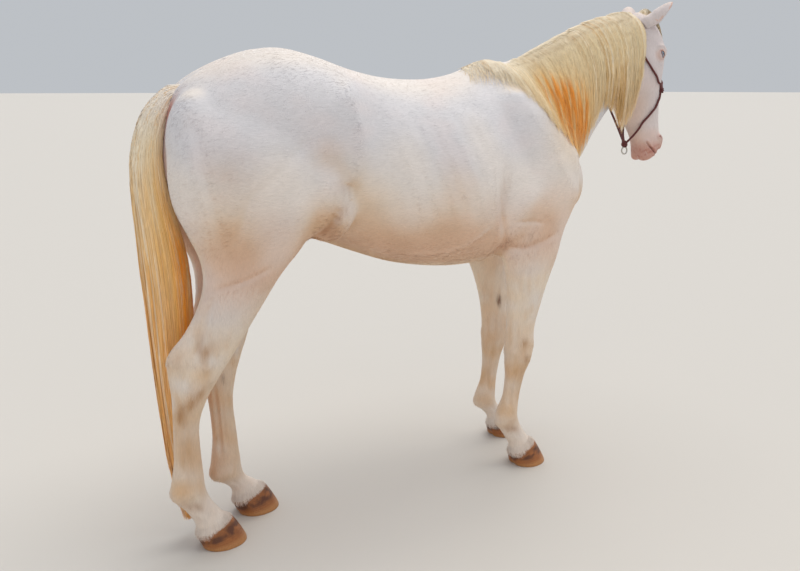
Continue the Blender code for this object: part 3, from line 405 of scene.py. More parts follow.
TAIL = [
    (-0.690, 1.335, -0.700, 1.412, 0, 0.028, 0.50, 2.0, 2.0),
    (-0.728, 1.305, -0.748, 1.380, 0, 0.040, 0.50, 2.0, 2.0),
    (-0.740, 1.255, -0.800, 1.316, 0.002, 0.052, 0.50, 2.0, 2.0),
    (-0.744, 1.185, -0.831, 1.212, 0.005, 0.058, 0.50, 2.0, 2.0),
    (-0.738, 1.100, -0.834, 1.105, 0.010, 0.061, 0.50, 2.0, 2.0),
    (-0.700, 0.980, -0.824, 0.980, 0.018, 0.064, 0.50, 2.0, 2.0),
    (-0.672, 0.850, -0.813, 0.850, 0.026, 0.066, 0.50, 2.0, 2.0),
    (-0.664, 0.700, -0.800, 0.700, 0.032, 0.064, 0.50, 2.0, 2.0),
    (-0.668, 0.550, -0.786, 0.550, 0.035, 0.060, 0.50, 2.0, 2.0),
    (-0.672, 0.400, -0.772, 0.400, 0.035, 0.055, 0.50, 2.0, 2.0),
    (-0.676, 0.250, -0.756, 0.250, 0.032, 0.046, 0.50, 2.0, 2.0),
    (-0.682, 0.130, -0.734, 0.130, 0.028, 0.030, 0.50, 2.0, 2.0),
    (-0.694, 0.045, -0.712, 0.045, 0.024, 0.010, 0.50, 2.0, 2.0),
]
FORELOCK = [
    (1.150, 1.722, 1.148, 1.690, 0, 0.016, 0.50, 2.0, 2.0),
    (1.195, 1.722, 1.178, 1.680, 0, 0.020, 0.50, 2.0, 2.0),
    (1.240, 1.702, 1.205, 1.650, 0, 0.028, 0.50, 2.0, 2.0),
    (1.272, 1.655, 1.225, 1.620, 0, 0.038, 0.50, 2.0, 2.0),
    (1.292, 1.590, 1.245, 1.570, 0, 0.043, 0.50, 2.0, 2.0),
    (1.304, 1.530, 1.258, 1.520, 0, 0.040, 0.50, 2.0, 2.0),
    (1.303, 1.485, 1.268, 1.482, 0, 0.030, 0.50, 2.0, 2.0),
    (1.296, 1.456, 1.272, 1.458, 0, 0.010, 0.50, 2.0, 2.0),
]
# The mane hangs on the right side.  Each row: its root on the crest (x, z), its lower end (x, z), and the
# thickness of the hair in the middle of its fall.
MANE = [
    (0.310, 1.466, 0.288, 1.400, 0.013),
    (0.400, 1.498, 0.385, 1.382, 0.016),
    (0.500, 1.504, 0.500, 1.345, 0.018),
    (0.590, 1.535, 0.600, 1.240, 0.020),
    (0.680, 1.578, 0.680, 1.190, 0.022),
    (0.760, 1.616, 0.750, 1.150, 0.022),
    (0.840, 1.650, 0.830, 1.240, 0.022),
    (0.910, 1.672, 0.910, 1.320, 0.021),
    (0.980, 1.686, 0.975, 1.300, 0.020),
    (1.050, 1.694, 1.035, 1.220, 0.019),
    (1.105, 1.694, 1.085, 1.380, 0.016),
    (1.135, 1.692, 1.115, 1.520, 0.010),
]

# %% Lofts
ROW_STEPS, BODY_AROUND, LEG_AROUND = 6, 72, 44    # rings for each gap of a table, and points in a ring


def smooth_rows(rows, steps):
    """Rows of a table with `steps` rows for each gap: a Catmull-Rom curve through every column."""
    rows = np.array(rows, float)
    padded = np.vstack([2 * rows[0] - rows[1], rows, 2 * rows[-1] - rows[-2]])
    t = (np.arange(steps) / steps)[None, :, None]
    a, b, c, d = (padded[k:len(rows) - 1 + k, None, :] for k in range(4))
    curve = 0.5 * (2 * b + (c - a) * t + (2 * a - 5 * b + 4 * c - d) * t ** 2
                   + (3 * b - 3 * c + d - a) * t ** 3)
    return np.vstack([curve.reshape(-1, rows.shape[1]), rows[-1]])


def rings_of(rows, steps, around):
    """All ovals of a table, as (rows, around, 3).  Each is a lopsided superellipse: with turn angle q the
    share along A-B is the signed power of cos q and the width is the signed power of sin q."""
    rows = smooth_rows(rows, steps)
    ax, az, bx, bz, middle, half_width, widest, full_a, full_b = (rows[:, k:k + 1] for k in range(9))
    turn = np.arange(around)[None, :] * 2 * math.pi / around
    power = 2 / np.where(np.cos(turn) > 0, full_a, full_b)
    along = np.sign(np.cos(turn)) * np.abs(np.cos(turn)) ** power
    across = np.sign(np.sin(turn)) * np.abs(np.sin(turn)) ** power
    place = np.where(along > 0, widest * (1 - along), widest - (1 - widest) * along)
    return np.stack([ax + (bx - ax) * place, middle + half_width * across, az + (bz - az) * place], axis=-1)


def tube_faces(count, around, first=0):
    """Triangles of a closed tube of `count` rings, whose two end poles follow its ring points."""
    k, i = np.meshgrid(np.arange(count - 1), np.arange(around), indexing="ij")
    j = (i + 1) % around
    a, b, c, d = k * around + i, k * around + j, (k + 1) * around + j, (k + 1) * around + i
    side = np.concatenate([np.stack([a, b, c], -1).reshape(-1, 3), np.stack([a, c, d], -1).reshape(-1, 3)])
    i = np.arange(around)
    j = (i + 1) % around
    last = (count - 1) * around
    poles = count * around
    start = np.stack([np.full(around, poles), j, i], -1)
    end = np.stack([np.full(around, poles + 1), last + i, last + j], -1)
    return np.concatenate([side, start, end]) + first


def tube_points(rings):
    """Ring points followed by the two end poles."""
    return np.vstack([rings.reshape(-1, 3), rings[0].mean(0), rings[-1].mean(0)])


def turned_out(points, faces):
    """The faces, flipped if the closed shape has a negative volume."""
    a, b, c = (points[faces[:, k]] for k in range(3))
    volume = np.einsum("ij,ij->i", a, np.cross(b, c)).sum()
    return faces if volume > 0 else faces[:, ::-1]


def joined(shapes):
    """One array of points and one of faces from many (points, faces) pairs."""
    points, faces, first = [], [], 0
    for place, corner in shapes:
        points.append(place)
        faces.append(corner + first)
        first += len(place)
    return np.vstack(points), np.vstack(faces)


def swing_share(z, kind):
    """How much of its foot's step a leg shares at each height: 0 at its top and 1 low down."""
    return 1 - smooth_step(z, SWING_END[kind], SWING_TOP[kind])


def sink_share(z, sunk=0.0):
    """How much of its fetlock's sinking a leg shares at each height; `sunk` if z is measured after it."""
    return (smooth_step(z, PASTERN_FIRM, FETLOCK - FETLOCK_HALF - sunk)
            * (1 - smooth_step(z, FETLOCK + FETLOCK_HALF - sunk, FETLOCK_BEND)))


def stance(points, kind, side, forward, outward, sink):
    """Points of a square leg moved to where this leg stands, with its fetlock sunk by `sink`."""
    share = swing_share(points[..., 2], kind)
    return np.stack([points[..., 0] + forward * share, side * (points[..., 1] + outward * share),
                     points[..., 2] - sink * sink_share(points[..., 2])], axis=-1)


def ellipsoid(middle, axes, turn, around=28, rows=16):
    """A closed ellipsoid turned about Y by `turn` degrees: unit sphere points scaled, turned, moved."""
    polar = (np.arange(rows) + 0.5) * math.pi / rows
    turn_z = np.arange(around) * 2 * math.pi / around
    rings = np.stack([np.sin(polar)[:, None] * np.cos(turn_z), np.sin(polar)[:, None] * np.sin(turn_z),
                      np.repeat(np.cos(polar)[:, None], around, 1)], -1) * np.array(axes)
    c, s = math.cos(math.radians(turn)), math.sin(math.radians(turn))
    rings = np.stack([c * rings[..., 0] + s * rings[..., 2], rings[..., 1],
                      -s * rings[..., 0] + c * rings[..., 2]], -1)
    return rings + np.array(middle)


shapes = [rings_of(rows, ROW_STEPS, BODY_AROUND) for rows in (TRUNK, NECK, HEAD)]
for kind, *place in LEGS.values():
    shapes.append(stance(rings_of(LEG_ROWS[kind], ROW_STEPS, LEG_AROUND), kind, *place))
for middle, axes, turn in MUSCLES:
    for side, _ in SIDES:
        shapes.append(ellipsoid((middle[0], side * middle[1], middle[2]), axes, turn))
closed = []
for rings in shapes:
    points = tube_points(rings)
    closed.append((points, turned_out(points, tube_faces(len(rings), rings.shape[1]))))
print("lofts and muscles:", len(closed), "triangles:", sum(len(faces) for _, faces in closed))

# %% [markdown]
# ## One skin
#
# The overlapping forms are welded with a voxel remesh, which gives an even grid of faces over the whole
# body.  It is then smoothed: fully on the trunk, where muscle runs into muscle, and hardly at all on the
# face and below the knee, where bone lies under the skin.  A finer remesh everywhere would waste faces on
# the flank, so only the head is divided again, and the eyes, nostrils and mouth once more.

# %% Weld and smooth the flesh
VOXEL = 0.005
SMOOTH_TURNS = 100
WEIGHT_LEVELS = 50         # weights are rounded to this many levels, so that each level is set at once
BLADE, BLADE_REACH = (0.410, 0.165, 1.380), (0.125, 0.080, 0.075)    # where the fore leg's loft ends


def smoothed(mesh, weights, turns, factor=0.5):
    """The mesh after `turns` of moving each point towards the mean of its neighbours, by its weight."""
    piece = to_object(mesh)
    group = piece.vertex_groups.new(name="soft")
    levels = np.round(weights * WEIGHT_LEVELS).astype(int)
    for level in np.unique(levels):
        group.add(np.flatnonzero(levels == level).tolist(), level / WEIGHT_LEVELS, "REPLACE")
    soften = piece.modifiers.new("soften", "SMOOTH")
    soften.factor, soften.iterations, soften.vertex_group = factor, turns, group.name
    return worked(piece)


def softness(points):
    """How far each point gives way: fully on the body, little on the head and the lower legs."""
    x, z = points[:, 0], points[:, 2]
    high = smooth_step(z, 0.50, 0.85)
    head = smooth_step(x, 0.98, 1.08) * smooth_step(x + 0.55 * z, 1.70, 1.80)
    return 0.14 + 0.86 * high * (1 - 0.84 * head)


lump = to_object(new_mesh("flesh", *joined(closed)))
weld = lump.modifiers.new("weld", "REMESH")
weld.mode, weld.voxel_size = "VOXEL", VOXEL
skin_mesh = worked(lump)
skin_mesh = smoothed(skin_mesh, softness(points_of(skin_mesh)), SMOOTH_TURNS)
# The upper end of the fore leg's loft melts into the shoulder blade.
blade_far = np.linalg.norm((folded(points_of(skin_mesh)) - BLADE) / BLADE_REACH, axis=1)
skin_mesh = smoothed(skin_mesh, 1 - smooth_step(blade_far, 0.5, 1.3), 3 * SMOOTH_TURNS)
print("welded skin:", len(skin_mesh.polygons), "faces")


# %% Divide the head finer
def refined(mesh, wanted):
    """The mesh with every edge halved where `wanted` holds at both of its ends."""
    bm = bmesh.new()
    bm.from_mesh(mesh)
    bm.verts.ensure_lookup_table()
    edges = [edge for edge in bm.edges if wanted[edge.verts[0].index] and wanted[edge.verts[1].index]]
    bmesh.ops.subdivide_edges(bm, edges=edges, cuts=1, use_grid_fill=True)
    bm.to_mesh(mesh)
    bm.free()
    return mesh


def near(points, place, reach):
    """True within `reach` of the place, on both sides of the horse."""
    return np.linalg.norm(folded(points) - np.array(place), axis=1) < reach


def head_share(points):
    """1 on the head, 0 on the neck and body, with a soft run behind the cheek."""
    return smooth_step(points[:, 0] - 0.234 * (points[:, 2] - 1.53), 1.02, 1.08) * (points[:, 2] > 1.0)


EYE_BOX = [np.array(corner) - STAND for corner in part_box("left_eye")]
EYE = (EYE_BOX[0] + EYE_BOX[1]) / 2
EYE_RADIUS = (EYE_BOX[1] - EYE_BOX[0])[1] / 2
NOSTRIL = np.array([1.268, 0.043, 1.168])
MOUTH = [(1.262, 0.000, 1.116), (1.240, 0.040, 1.124), (1.212, 0.053, 1.148), (1.196, 0.054, 1.168)]
FLATTENED = np.array([1, 0.3, 1])    # the mouth's line lies inside the lips, so breadth counts for less

skin_mesh = refined(skin_mesh, head_share(points_of(skin_mesh)) > 0.5)
places = points_of(skin_mesh)
fine = np.any([near(places, place, reach) for place, reach in
               ((EYE, 0.045), (NOSTRIL, 0.040), (MOUTH[2], 0.032), (MOUTH[1], 0.030))], axis=0)
skin_mesh = refined(skin_mesh, fine)
skin_mesh = smoothed(skin_mesh, head_share(points_of(skin_mesh)), 4)
print("skin after dividing the head:", len(skin_mesh.polygons), "faces; eye at", np.round(EYE, 3),
      "radius", round(float(EYE_RADIUS), 4))

# %% [markdown]
# ## Ears
#
# A horse's ear is a thin trumpet of skin, open to the front and outward, with its back rounded and its tip
# turned in.  It is a closed loft of C-shaped rings: each ring is a thin oval bent round an open arc.  The
# ears are joined to the head with a Boolean union, and the join is smoothed away so that the skin stays
# one surface.

# %% Ear lofts joined to the head
EAR_ROOT, EAR_TIP, EAR_BURIED = (1.172, 0.058, 1.660), (1.234, 0.122, 1.739), 0.025
# Share of the height, radius of the wall, half opening in degrees, half thickness, lean forward.
EAR_ROWS = [
    (0.00, 0.018, 150, 0.0140, 0.000), (0.18, 0.024, 150, 0.0130, 0.001), (0.32, 0.030, 138, 0.0050, 0.003),
    (0.50, 0.034, 115, 0.0032, 0.008), (0.68, 0.034, 98, 0.0028, 0.012), (0.84, 0.029, 86, 0.0024, 0.014),
    (0.95, 0.018, 74, 0.0020, 0.013), (1.00, 0.003, 56, 0.0014, 0.009),
]


def ear_frame(side):
    """The ear's root, its upward way, the way it opens, the way across, and its length."""
    root = np.array(EAR_ROOT) * (1, side, 1)
    tip = np.array(EAR_TIP) * (1, side, 1)
    up = unit(tip - root)
    root = root - up * EAR_BURIED
    open_to = np.array([0.80, side * 0.75, -0.25])
    open_to = unit(open_to - up * (open_to @ up))
    return root, up, open_to, np.cross(up, open_to), float(np.linalg.norm(tip - root))


def ear_shape(side):
    """Closed loft of one ear: ring point = root + up*height + open*(lean + 0.3 r - q cos a) + across*q sin a,
    where a sweeps the open arc and q runs out and back across the wall."""
    root, up, open_to, across, length = ear_frame(side)
    rows = smooth_rows(EAR_ROWS, 5)
    turn = np.arange(28) * 2 * math.pi / 28
    angle = np.radians(rows[:, 2:3]) * np.cos(turn)
    reach = rows[:, 1:2] + rows[:, 3:4] * np.sin(turn)
    outward = rows[:, 4:5] + rows[:, 1:2] * 0.3 - reach * np.cos(angle)
    rings = (root + up * (rows[:, 0:1] * length)[..., None] + open_to * outward[..., None]
             + across * (reach * np.sin(angle))[..., None])
    points = tube_points(rings)
    return points, turned_out(points, tube_faces(len(rings), rings.shape[1]))


body = to_object(skin_mesh)
ears = to_object(new_mesh("ears", *joined([ear_shape(side) for side, _ in SIDES])))
union = body.modifiers.new("ears", "BOOLEAN")
union.operation, union.solver, union.object = "UNION", "MANIFOLD", ears
skin_mesh = worked(body)
bpy.data.objects.remove(ears)
places = points_of(skin_mesh)
root_zone = near(places, np.array(EAR_ROOT) + (0.006, 0.004, 0.004), 0.040)
skin_mesh = smoothed(skin_mesh, root_zone * 0.8, 4)
print("skin with ears:", len(skin_mesh.polygons), "faces")

# %% [markdown]
# ## Muscle, bone and crease
#
# A smooth body looks like a toy.  What makes it a horse is where bone shows and where muscles part: the
# point of the hip, the hollow of the flank, the shoulder blade, the groove in front of the hamstring of
# the hock, the tendons behind the cannon bones, the ridge of the cheek.  Each of these is a small field
# that moves the skin along its normal: a soft mound, or a soft ridge or groove along a line.  They are
# listed for a leg that stands square, and `square_places` takes every leg back to that pose first.

# %% Fields of muscle and bone
# Mounds: x, z, half length, half breadth, turn in degrees, height in millimetres.
MOUNDS = [
    (-0.262, 1.368, 0.050, 0.038, 35, 11), (-0.165, 1.290, 0.050, 0.085, 0, -9),
    (-0.400, 1.190, 0.120, 0.150, 0, 5), (-0.370, 1.030, 0.050, 0.065, -20, 3),
    (-0.240, 1.000, 0.030, 0.030, 10, 2), (-0.315, 0.945, 0.030, 0.035, 30, -9),
    (-0.646, 1.144, 0.035, 0.060, 0, -3),
    (-0.530, 0.800, 0.050, 0.090, -25, 4), (-0.700, 1.300, 0.040, 0.040, 0, 1.5),
    (0.330, 1.385, 0.050, 0.050, 0, -2), (0.560, 1.180, 0.070, 0.120, 28, 4),
    (0.672, 1.000, 0.045, 0.050, 0, 8), (0.435, 1.010, 0.075, 0.050, 35, 9),
    (0.310, 1.035, 0.027, 0.100, -8, -11), (0.440, 0.888, 0.080, 0.028, 0, 2),
    (0.520, 0.960, 0.040, 0.060, 0, 4), (0.590, 0.790, 0.030, 0.090, -10, 4),
]
# Lines: points (x, z), half width in millimetres, height in millimetres.
LINES = [
    ([(-0.240, 1.350), (-0.222, 1.260), (-0.228, 1.180), (-0.258, 1.080)], 26, 6),      # front of the haunch
    ([(-0.372, 0.905), (-0.343, 0.947), (-0.316, 0.985), (-0.300, 1.012)], 16, -8),    # flank fold
    ([(-0.300, 1.012), (-0.280, 1.060), (-0.268, 1.110)], 26, -4),                      # its soft upper end
    ([(-0.400, 1.240), (-0.500, 1.137), (-0.573, 1.073), (-0.605, 0.960)], 15, -3.5),   # thigh groove
    ([(-0.705, 1.290), (-0.695, 1.160), (-0.665, 1.030), (-0.640, 0.930)], 14, -3),     # hamstring groove
    ([(-0.500, 0.868), (-0.573, 0.836), (-0.645, 0.815)], 9, -2.6),                     # crease over the gaskin
    ([(0.390, 1.430), (0.500, 1.260), (0.590, 1.110), (0.640, 1.040)], 24, 2),          # spine of the blade
    ([(0.520, 1.450), (0.620, 1.300), (0.690, 1.150), (0.712, 1.080)], 22, -3),         # neck meets shoulder
    ([(0.366, 0.931), (0.430, 0.928), (0.493, 0.920)], 8, -1.4),                        # crease over the elbow
    ([(0.343, 0.860), (0.380, 0.838), (0.417, 0.830), (0.500, 0.846), (0.569, 0.873)], 13, -3),  # and under it
    ([(0.315, 0.960), (0.343, 0.865), (0.362, 0.780)], 11, -6),                         # arm meets girth
    ([(0.272, 1.130), (0.280, 1.020), (0.306, 0.920)], 10, 1.2),                         # fold behind the arm
    ([(-0.051, 0.852), (0.088, 0.843), (0.181, 0.863), (0.258, 0.913)], 9, 3.5),        # girth line
    ([(0.735, 1.130), (0.860, 1.255), (1.000, 1.385)], 17, -4),                         # groove of the throat
    ([(0.600, 0.860), (0.545, 0.700), (0.508, 0.560)], 9, -2.5),                        # muscles of the forearm
    ([(0.470, 0.850), (0.450, 0.700), (0.440, 0.560)], 9, -2.5),
]
# Lines and mounds of the lower leg, seen on both of its sides.
LEG_LINES = [
    ([(-0.655, 0.780), (-0.672, 0.710), (-0.682, 0.650), (-0.692, 0.615)], 10, -8),      # before the hamstring
    ([(-0.712, 0.600), (-0.722, 0.545), (-0.722, 0.500)], 7, -2.5),                     # under the point of hock
    ([(-0.722, 0.460), (-0.724, 0.360), (-0.722, 0.255)], 6, -6),                   # hind tendon groove
    ([(-0.706, 0.430), (-0.706, 0.340), (-0.700, 0.262)], 4.0, -1.6),
    ([(-0.690, 0.150), (-0.668, 0.118)], 7, -2.5),                                      # hollow of the pastern
    ([(0.436, 0.370), (0.426, 0.300), (0.420, 0.240)], 6, -6),                      # fore tendon groove
    ([(0.452, 0.370), (0.444, 0.300), (0.438, 0.245)], 4.0, -1.6),
    ([(0.436, 0.150), (0.458, 0.112)], 7, -2.5),
]
LEG_MOUNDS = [
    (-0.655, 0.578, 0.018, 0.020, 0, 6), (-0.640, 0.535, 0.016, 0.022, 0, 4),
    (-0.716, 0.590, 0.018, 0.030, 0, 2.5),
    (-0.700, 0.192, 0.024, 0.020, 0, 5), (0.424, 0.192, 0.022, 0.020, 0, 5),
    (0.480, 0.425, 0.020, 0.024, 0, 3),
    (0.496, 0.470, 0.020, 0.018, 0, 2), (0.424, 0.440, 0.014, 0.018, 0, 4),
    (0.455, 0.400, 0.014, 0.016, 0, 2),
]


def square_places(points):
    """Each point moved back to where a square-standing horse has it, y folded to one side, and its side."""
    side = np.where(points[:, 1] < 0, -1.0, 1.0)
    x, y, z = folded(points).T
    for kind, leg_side, forward, outward, sink in LEGS.values():
        mine = (side == leg_side) & ((points[:, 0] < 0) == (kind == "hind"))
        z = np.where(mine, z + sink * sink_share(z, sink), z)
        share = swing_share(z, kind)
        x = np.where(mine, x - forward * share, x)
        y = np.where(mine, y - outward * share, y)
    return np.column_stack([x, y, z]), side


def mound(x, z, place_x, place_z, long, broad, turn=0):
    """A soft mound: exp of minus the squared distance in the turned, scaled ellipse."""
    c, s = math.cos(math.radians(turn)), math.sin(math.radians(turn))
    u, v = (x - place_x) * c + (z - place_z) * s, -(x - place_x) * s + (z - place_z) * c
    return np.exp(-((u / long) ** 2 + (v / broad) ** 2))


def line_distance(points, line):
    """Distance to a smooth line through the given points, and the share of the way along it."""
    line = smooth_rows(line, 6)
    best = np.full(len(points), np.inf)
    way = np.zeros(len(points))
    for k in range(len(line) - 1):
        step = line[k + 1] - line[k]
        t = np.clip(((points - line[k]) @ step) / (step @ step), 0, 1)
        far = np.linalg.norm(points - line[k] - t[:, None] * step, axis=1)
        closer = far < best
        best = np.where(closer, far, best)
        way = np.where(closer, (k + t) / (len(line) - 1), way)
    return best, way


def line_field(points, line, half_width):
    """A soft ridge along a line, fading at its ends: exp(-(d/w)^2) times a taper."""
    far, way = line_distance(points, line)
    return np.exp(-(far / half_width) ** 2) * smooth_step(way, -0.12, 0.14) * smooth_step(1 - way, -0.12, 0.14)


MILLIMETRE = 0.001
RIB_SPACING, RIB_HIGH, RIB_LEAN = 0.056, 0.0005, 0.35    # ribs show faintly, and lean back as they go down


def add_mounds(relief, table, x, z, share):
    """Each mound of a table added to the relief, where `share` lets it show."""
    for *place, high in table:
        relief += MILLIMETRE * high * mound(x, z, *place) * share


def add_lines(relief, table, flat, share):
    """Each ridge or groove of a table added to the relief, where `share` lets it show."""
    for line, wide, high in table:
        relief += MILLIMETRE * high * line_field(flat, line, MILLIMETRE * wide) * share


def body_relief(points, normals):
    """How far each point of body and legs moves along its normal, in metres."""
    square, side = square_places(points)
    x, z = square[:, 0], square[:, 2]
    flat = square[:, [0, 2]]
    lateral = smooth_step(normals[:, 1] * side, 0.05, 0.55) * (x < 1.03)
    low = smooth_step(0.86 - z, 0.0, 0.10)
    both = smooth_step(np.abs(normals[:, 1]), 0.25, 0.75) * low
    relief = np.zeros(len(points))
    add_mounds(relief, MOUNDS, x, z, lateral)
    add_lines(relief, LINES, flat, lateral)
    add_lines(relief, LEG_LINES, flat, both)
    add_mounds(relief, LEG_MOUNDS, x, z, both)

    # The ball of the fetlock, the point of the hock and the front of the knee.
    rear, fore = smooth_step(-normals[:, 0], 0.1, 0.7) * low, smooth_step(normals[:, 0], 0.1, 0.7) * low
    relief += 0.006 * rear * np.exp(-((z - 0.180) / 0.024) ** 2)
    relief += 0.005 * rear * np.exp(-((z - 0.600) / 0.026) ** 2) * (x < 0)
    relief += 0.003 * fore * np.exp(-((z - 0.455) / 0.030) ** 2) * (x > 0)

    ribs = smooth_step(x, -0.16, -0.04) * smooth_step(-x, -0.32, -0.20) * smooth_step(z, 0.92, 1.02)
    ribs = ribs * smooth_step(-z, -1.36, -1.24) * lateral
    relief += RIB_HIGH * ribs * np.sin((x + RIB_LEAN * (z - 1.1)) * 2 * math.pi / RIB_SPACING)

    # On the middle line: the cleft of the breast, the furrow of the croup and the split of the buttocks.
    cleft = np.exp(-(points[:, 1] / 0.016) ** 2) * smooth_step(x, 0.66, 0.72) * smooth_step(z, 0.86, 0.92)
    relief -= 0.010 * cleft * smooth_step(-z, -1.16, -1.06)
    spine = np.exp(-(points[:, 1] / 0.035) ** 2) * smooth_step(-x, 0.20, 0.42) * smooth_step(z, 1.25, 1.35)
    relief -= 0.0035 * spine * smooth_step(x, -0.68, -0.50)
    split = np.exp(-(points[:, 1] / 0.014) ** 2) * (x < -0.55) * (z > 0.85)
    relief -= 0.012 * split
    return relief


print("fields:", len(MOUNDS) + len(LINES) + len(LEG_LINES) + len(LEG_MOUNDS))

# %% The face
# Lines in space on the left side of the head: points (x, y, z), half width and height in millimetres.
FACE_LINES = [
    ([(1.186, 0.094, 1.474), (1.212, 0.084, 1.425), (1.236, 0.068, 1.350), (1.240, 0.060, 1.310)], 7, 3.6),
    ([(1.196, 0.098, 1.562), (1.222, 0.096, 1.562), (1.244, 0.086, 1.545), (1.252, 0.080, 1.522)], 7, 3.8),
    ([(1.184, 0.093, 1.536), (1.186, 0.096, 1.510), (1.202, 0.097, 1.494), (1.228, 0.090, 1.496)], 6, -2.2),
    ([(1.060, 0.080, 1.480), (1.064, 0.080, 1.410), (1.098, 0.070, 1.330), (1.132, 0.056, 1.270)], 10, 3.0),
    ([(1.140, 0.092, 1.520), (1.170, 0.094, 1.440), (1.190, 0.080, 1.350), (1.196, 0.062, 1.290)], 12, -3.0),
    ([(1.262, 0.056, 1.440), (1.268, 0.052, 1.370), (1.270, 0.046, 1.300), (1.272, 0.042, 1.240)], 9, -3.2),
    ([(1.198, 0.060, 1.330), (1.222, 0.055, 1.270), (1.242, 0.051, 1.215)], 5, 1.6),
    ([(1.120, 0.050, 1.262), (1.150, 0.050, 1.222), (1.172, 0.052, 1.190)], 8, -2.6),
    ([(1.236, 0.055, 1.190), (1.226, 0.056, 1.168), (1.222, 0.054, 1.148)], 5, -3.0),
    ([(1.176, 0.045, 1.150), (1.190, 0.046, 1.132), (1.214, 0.040, 1.112)], 6, -4.0),
]
# Mounds in space: place, half width in metres, height in millimetres.
FACE_MOUNDS = [
    ((1.206, 0.066, 1.600), 0.017, -6.0), ((1.160, 0.082, 1.575), 0.022, -2.5),
    ((1.228, 0.080, 1.470), 0.020, -2.0),
    ((1.110, 0.085, 1.425), 0.050, 4.0), ((1.262, 0.052, 1.186), 0.016, 3.0),
    ((1.214, 0.046, 1.100), 0.018, 3.0),
    ((1.184, 0.030, 1.096), 0.018, 5.0), ((1.276, 0.018, 1.128), 0.018, 2.5),
    ((1.176, 0.040, 1.172), 0.018, 2.0),
]
NOSTRIL_LINE = [(1.262, 0.047, 1.190), (1.272, 0.046, 1.180), (1.276, 0.043, 1.166), (1.270, 0.041, 1.154)]
NOSTRIL_NARROW, NOSTRIL_WIDER, NOSTRIL_DEEP, NOSTRIL_RIM = 0.0060, 0.0035, 0.016, 0.0032
LIP_DEEP, LIP_HALF, LIP_ROLL, LIP_ROLL_AWAY, LIP_ROLL_HALF = 0.0085, 0.0036, 0.0024, 0.009, 0.005


def nostril_relief(places):
    """A comma-shaped opening with a raised rim: the distance to its curved middle line sets the depth."""
    far, way = line_distance(places, NOSTRIL_LINE)
    wide = NOSTRIL_NARROW + NOSTRIL_WIDER * smooth_step(way, 0.2, 0.9)
    opening = smooth_step(wide - far, 0.0, 0.0035)
    rim = np.exp(-((far - wide - 0.0025) / 0.0040) ** 2)
    return NOSTRIL_RIM * rim - NOSTRIL_DEEP * opening


def mouth_distance(places):
    """Distance to the line of the mouth, with breadth counted for less."""
    return line_distance(places * FLATTENED, np.array(MOUTH) * FLATTENED)[0]


def face_relief(points):
    """How far each point of the head moves along its normal, in metres."""
    places = folded(points)
    relief = np.zeros(len(points))
    add_lines(relief, FACE_LINES, places, 1)
    for place, wide, high in FACE_MOUNDS:
        far = np.linalg.norm(places - np.array(place), axis=1)
        relief += MILLIMETRE * high * np.exp(-(far / wide) ** 2)
    far = mouth_distance(places)
    relief += (-LIP_DEEP * np.exp(-(far / LIP_HALF) ** 2)
               + LIP_ROLL * np.exp(-((far - LIP_ROLL_AWAY) / LIP_ROLL_HALF) ** 2))
    relief += nostril_relief(places)
    return relief * head_share(points)


def moved_out(mesh, relief):
    """The mesh with each point moved along its normal by its relief."""
    move_points(mesh, points_of(mesh) + normals_of(mesh) * relief[:, None])
    return mesh


COAT, FACE_COAT = 0.003, 0.4    # depth of the skin under the tips of the coat, and the face's share of it
places = points_of(skin_mesh)
skin_mesh = moved_out(skin_mesh, body_relief(places, normals_of(skin_mesh)))
skin_mesh = moved_out(skin_mesh, face_relief(places) - COAT * (1 - (1 - FACE_COAT) * head_share(places)))
print("relief laid on", len(places), "points")

# %% [markdown]
# ## Eyelids
#
# A horse's eye is a large ball deep in its orbit, and the lids lie on it like a cloth.  Near the eye every
# point of the skin is measured from the middle of the ball: outside the almond opening it is held a lid's
# thickness above the ball, and inside the opening it is sunk below it, so that the ball shows.

# %% Lids over the eyeball
EYE_WAY = unit(np.array([0.34, 0.94, 0.02]))
LID_ALONG = unit(np.array([0.56, -0.19, -0.80]))
LID_ALONG = unit(LID_ALONG - EYE_WAY * (LID_ALONG @ EYE_WAY))
LID_UP = np.cross(LID_ALONG, EYE_WAY)
OPEN_LONG, OPEN_HIGH, OPEN_LOW = 0.0172, 0.0105, 0.0090    # half length, and heights of the two lids' arches
ALMOND = 1.5                                                # power of the height in the almond's outline
LID_REACH, LID_THICK, LID_ROLL, BEHIND_BALL = 2.2, 0.0012, 0.0022, 0.0030


def lid_places(points):
    """Each point near an eye in that eye's own frame: along the lids, across them, and out of the head."""
    offset = folded(points) - EYE
    return offset @ LID_ALONG, offset @ LID_UP, offset @ EYE_WAY


def opening_share(along, across):
    """Below 1 inside the almond: (along/length)^2 + |across/height|^1.5 with a flatter lower lid."""
    high = np.where(across > 0, OPEN_HIGH, OPEN_LOW)
    return (along / OPEN_LONG) ** 2 + np.abs(across / high) ** ALMOND


def almond_edge(turn):
    """The almond's outline at each angle, along and across the lids."""
    high = np.where(np.sin(turn) > 0, OPEN_HIGH, -OPEN_LOW)
    return OPEN_LONG * np.cos(turn), high * np.maximum(1 - np.cos(turn) ** 2, 0) ** (1 / ALMOND)


def on_ball(along, across, radius):
    """Places along and across the lids, at this distance from the middle of the ball."""
    out = np.sqrt(radius ** 2 - along ** 2 - across ** 2)
    return EYE + along[:, None] * LID_ALONG + across[:, None] * LID_UP + out[:, None] * EYE_WAY


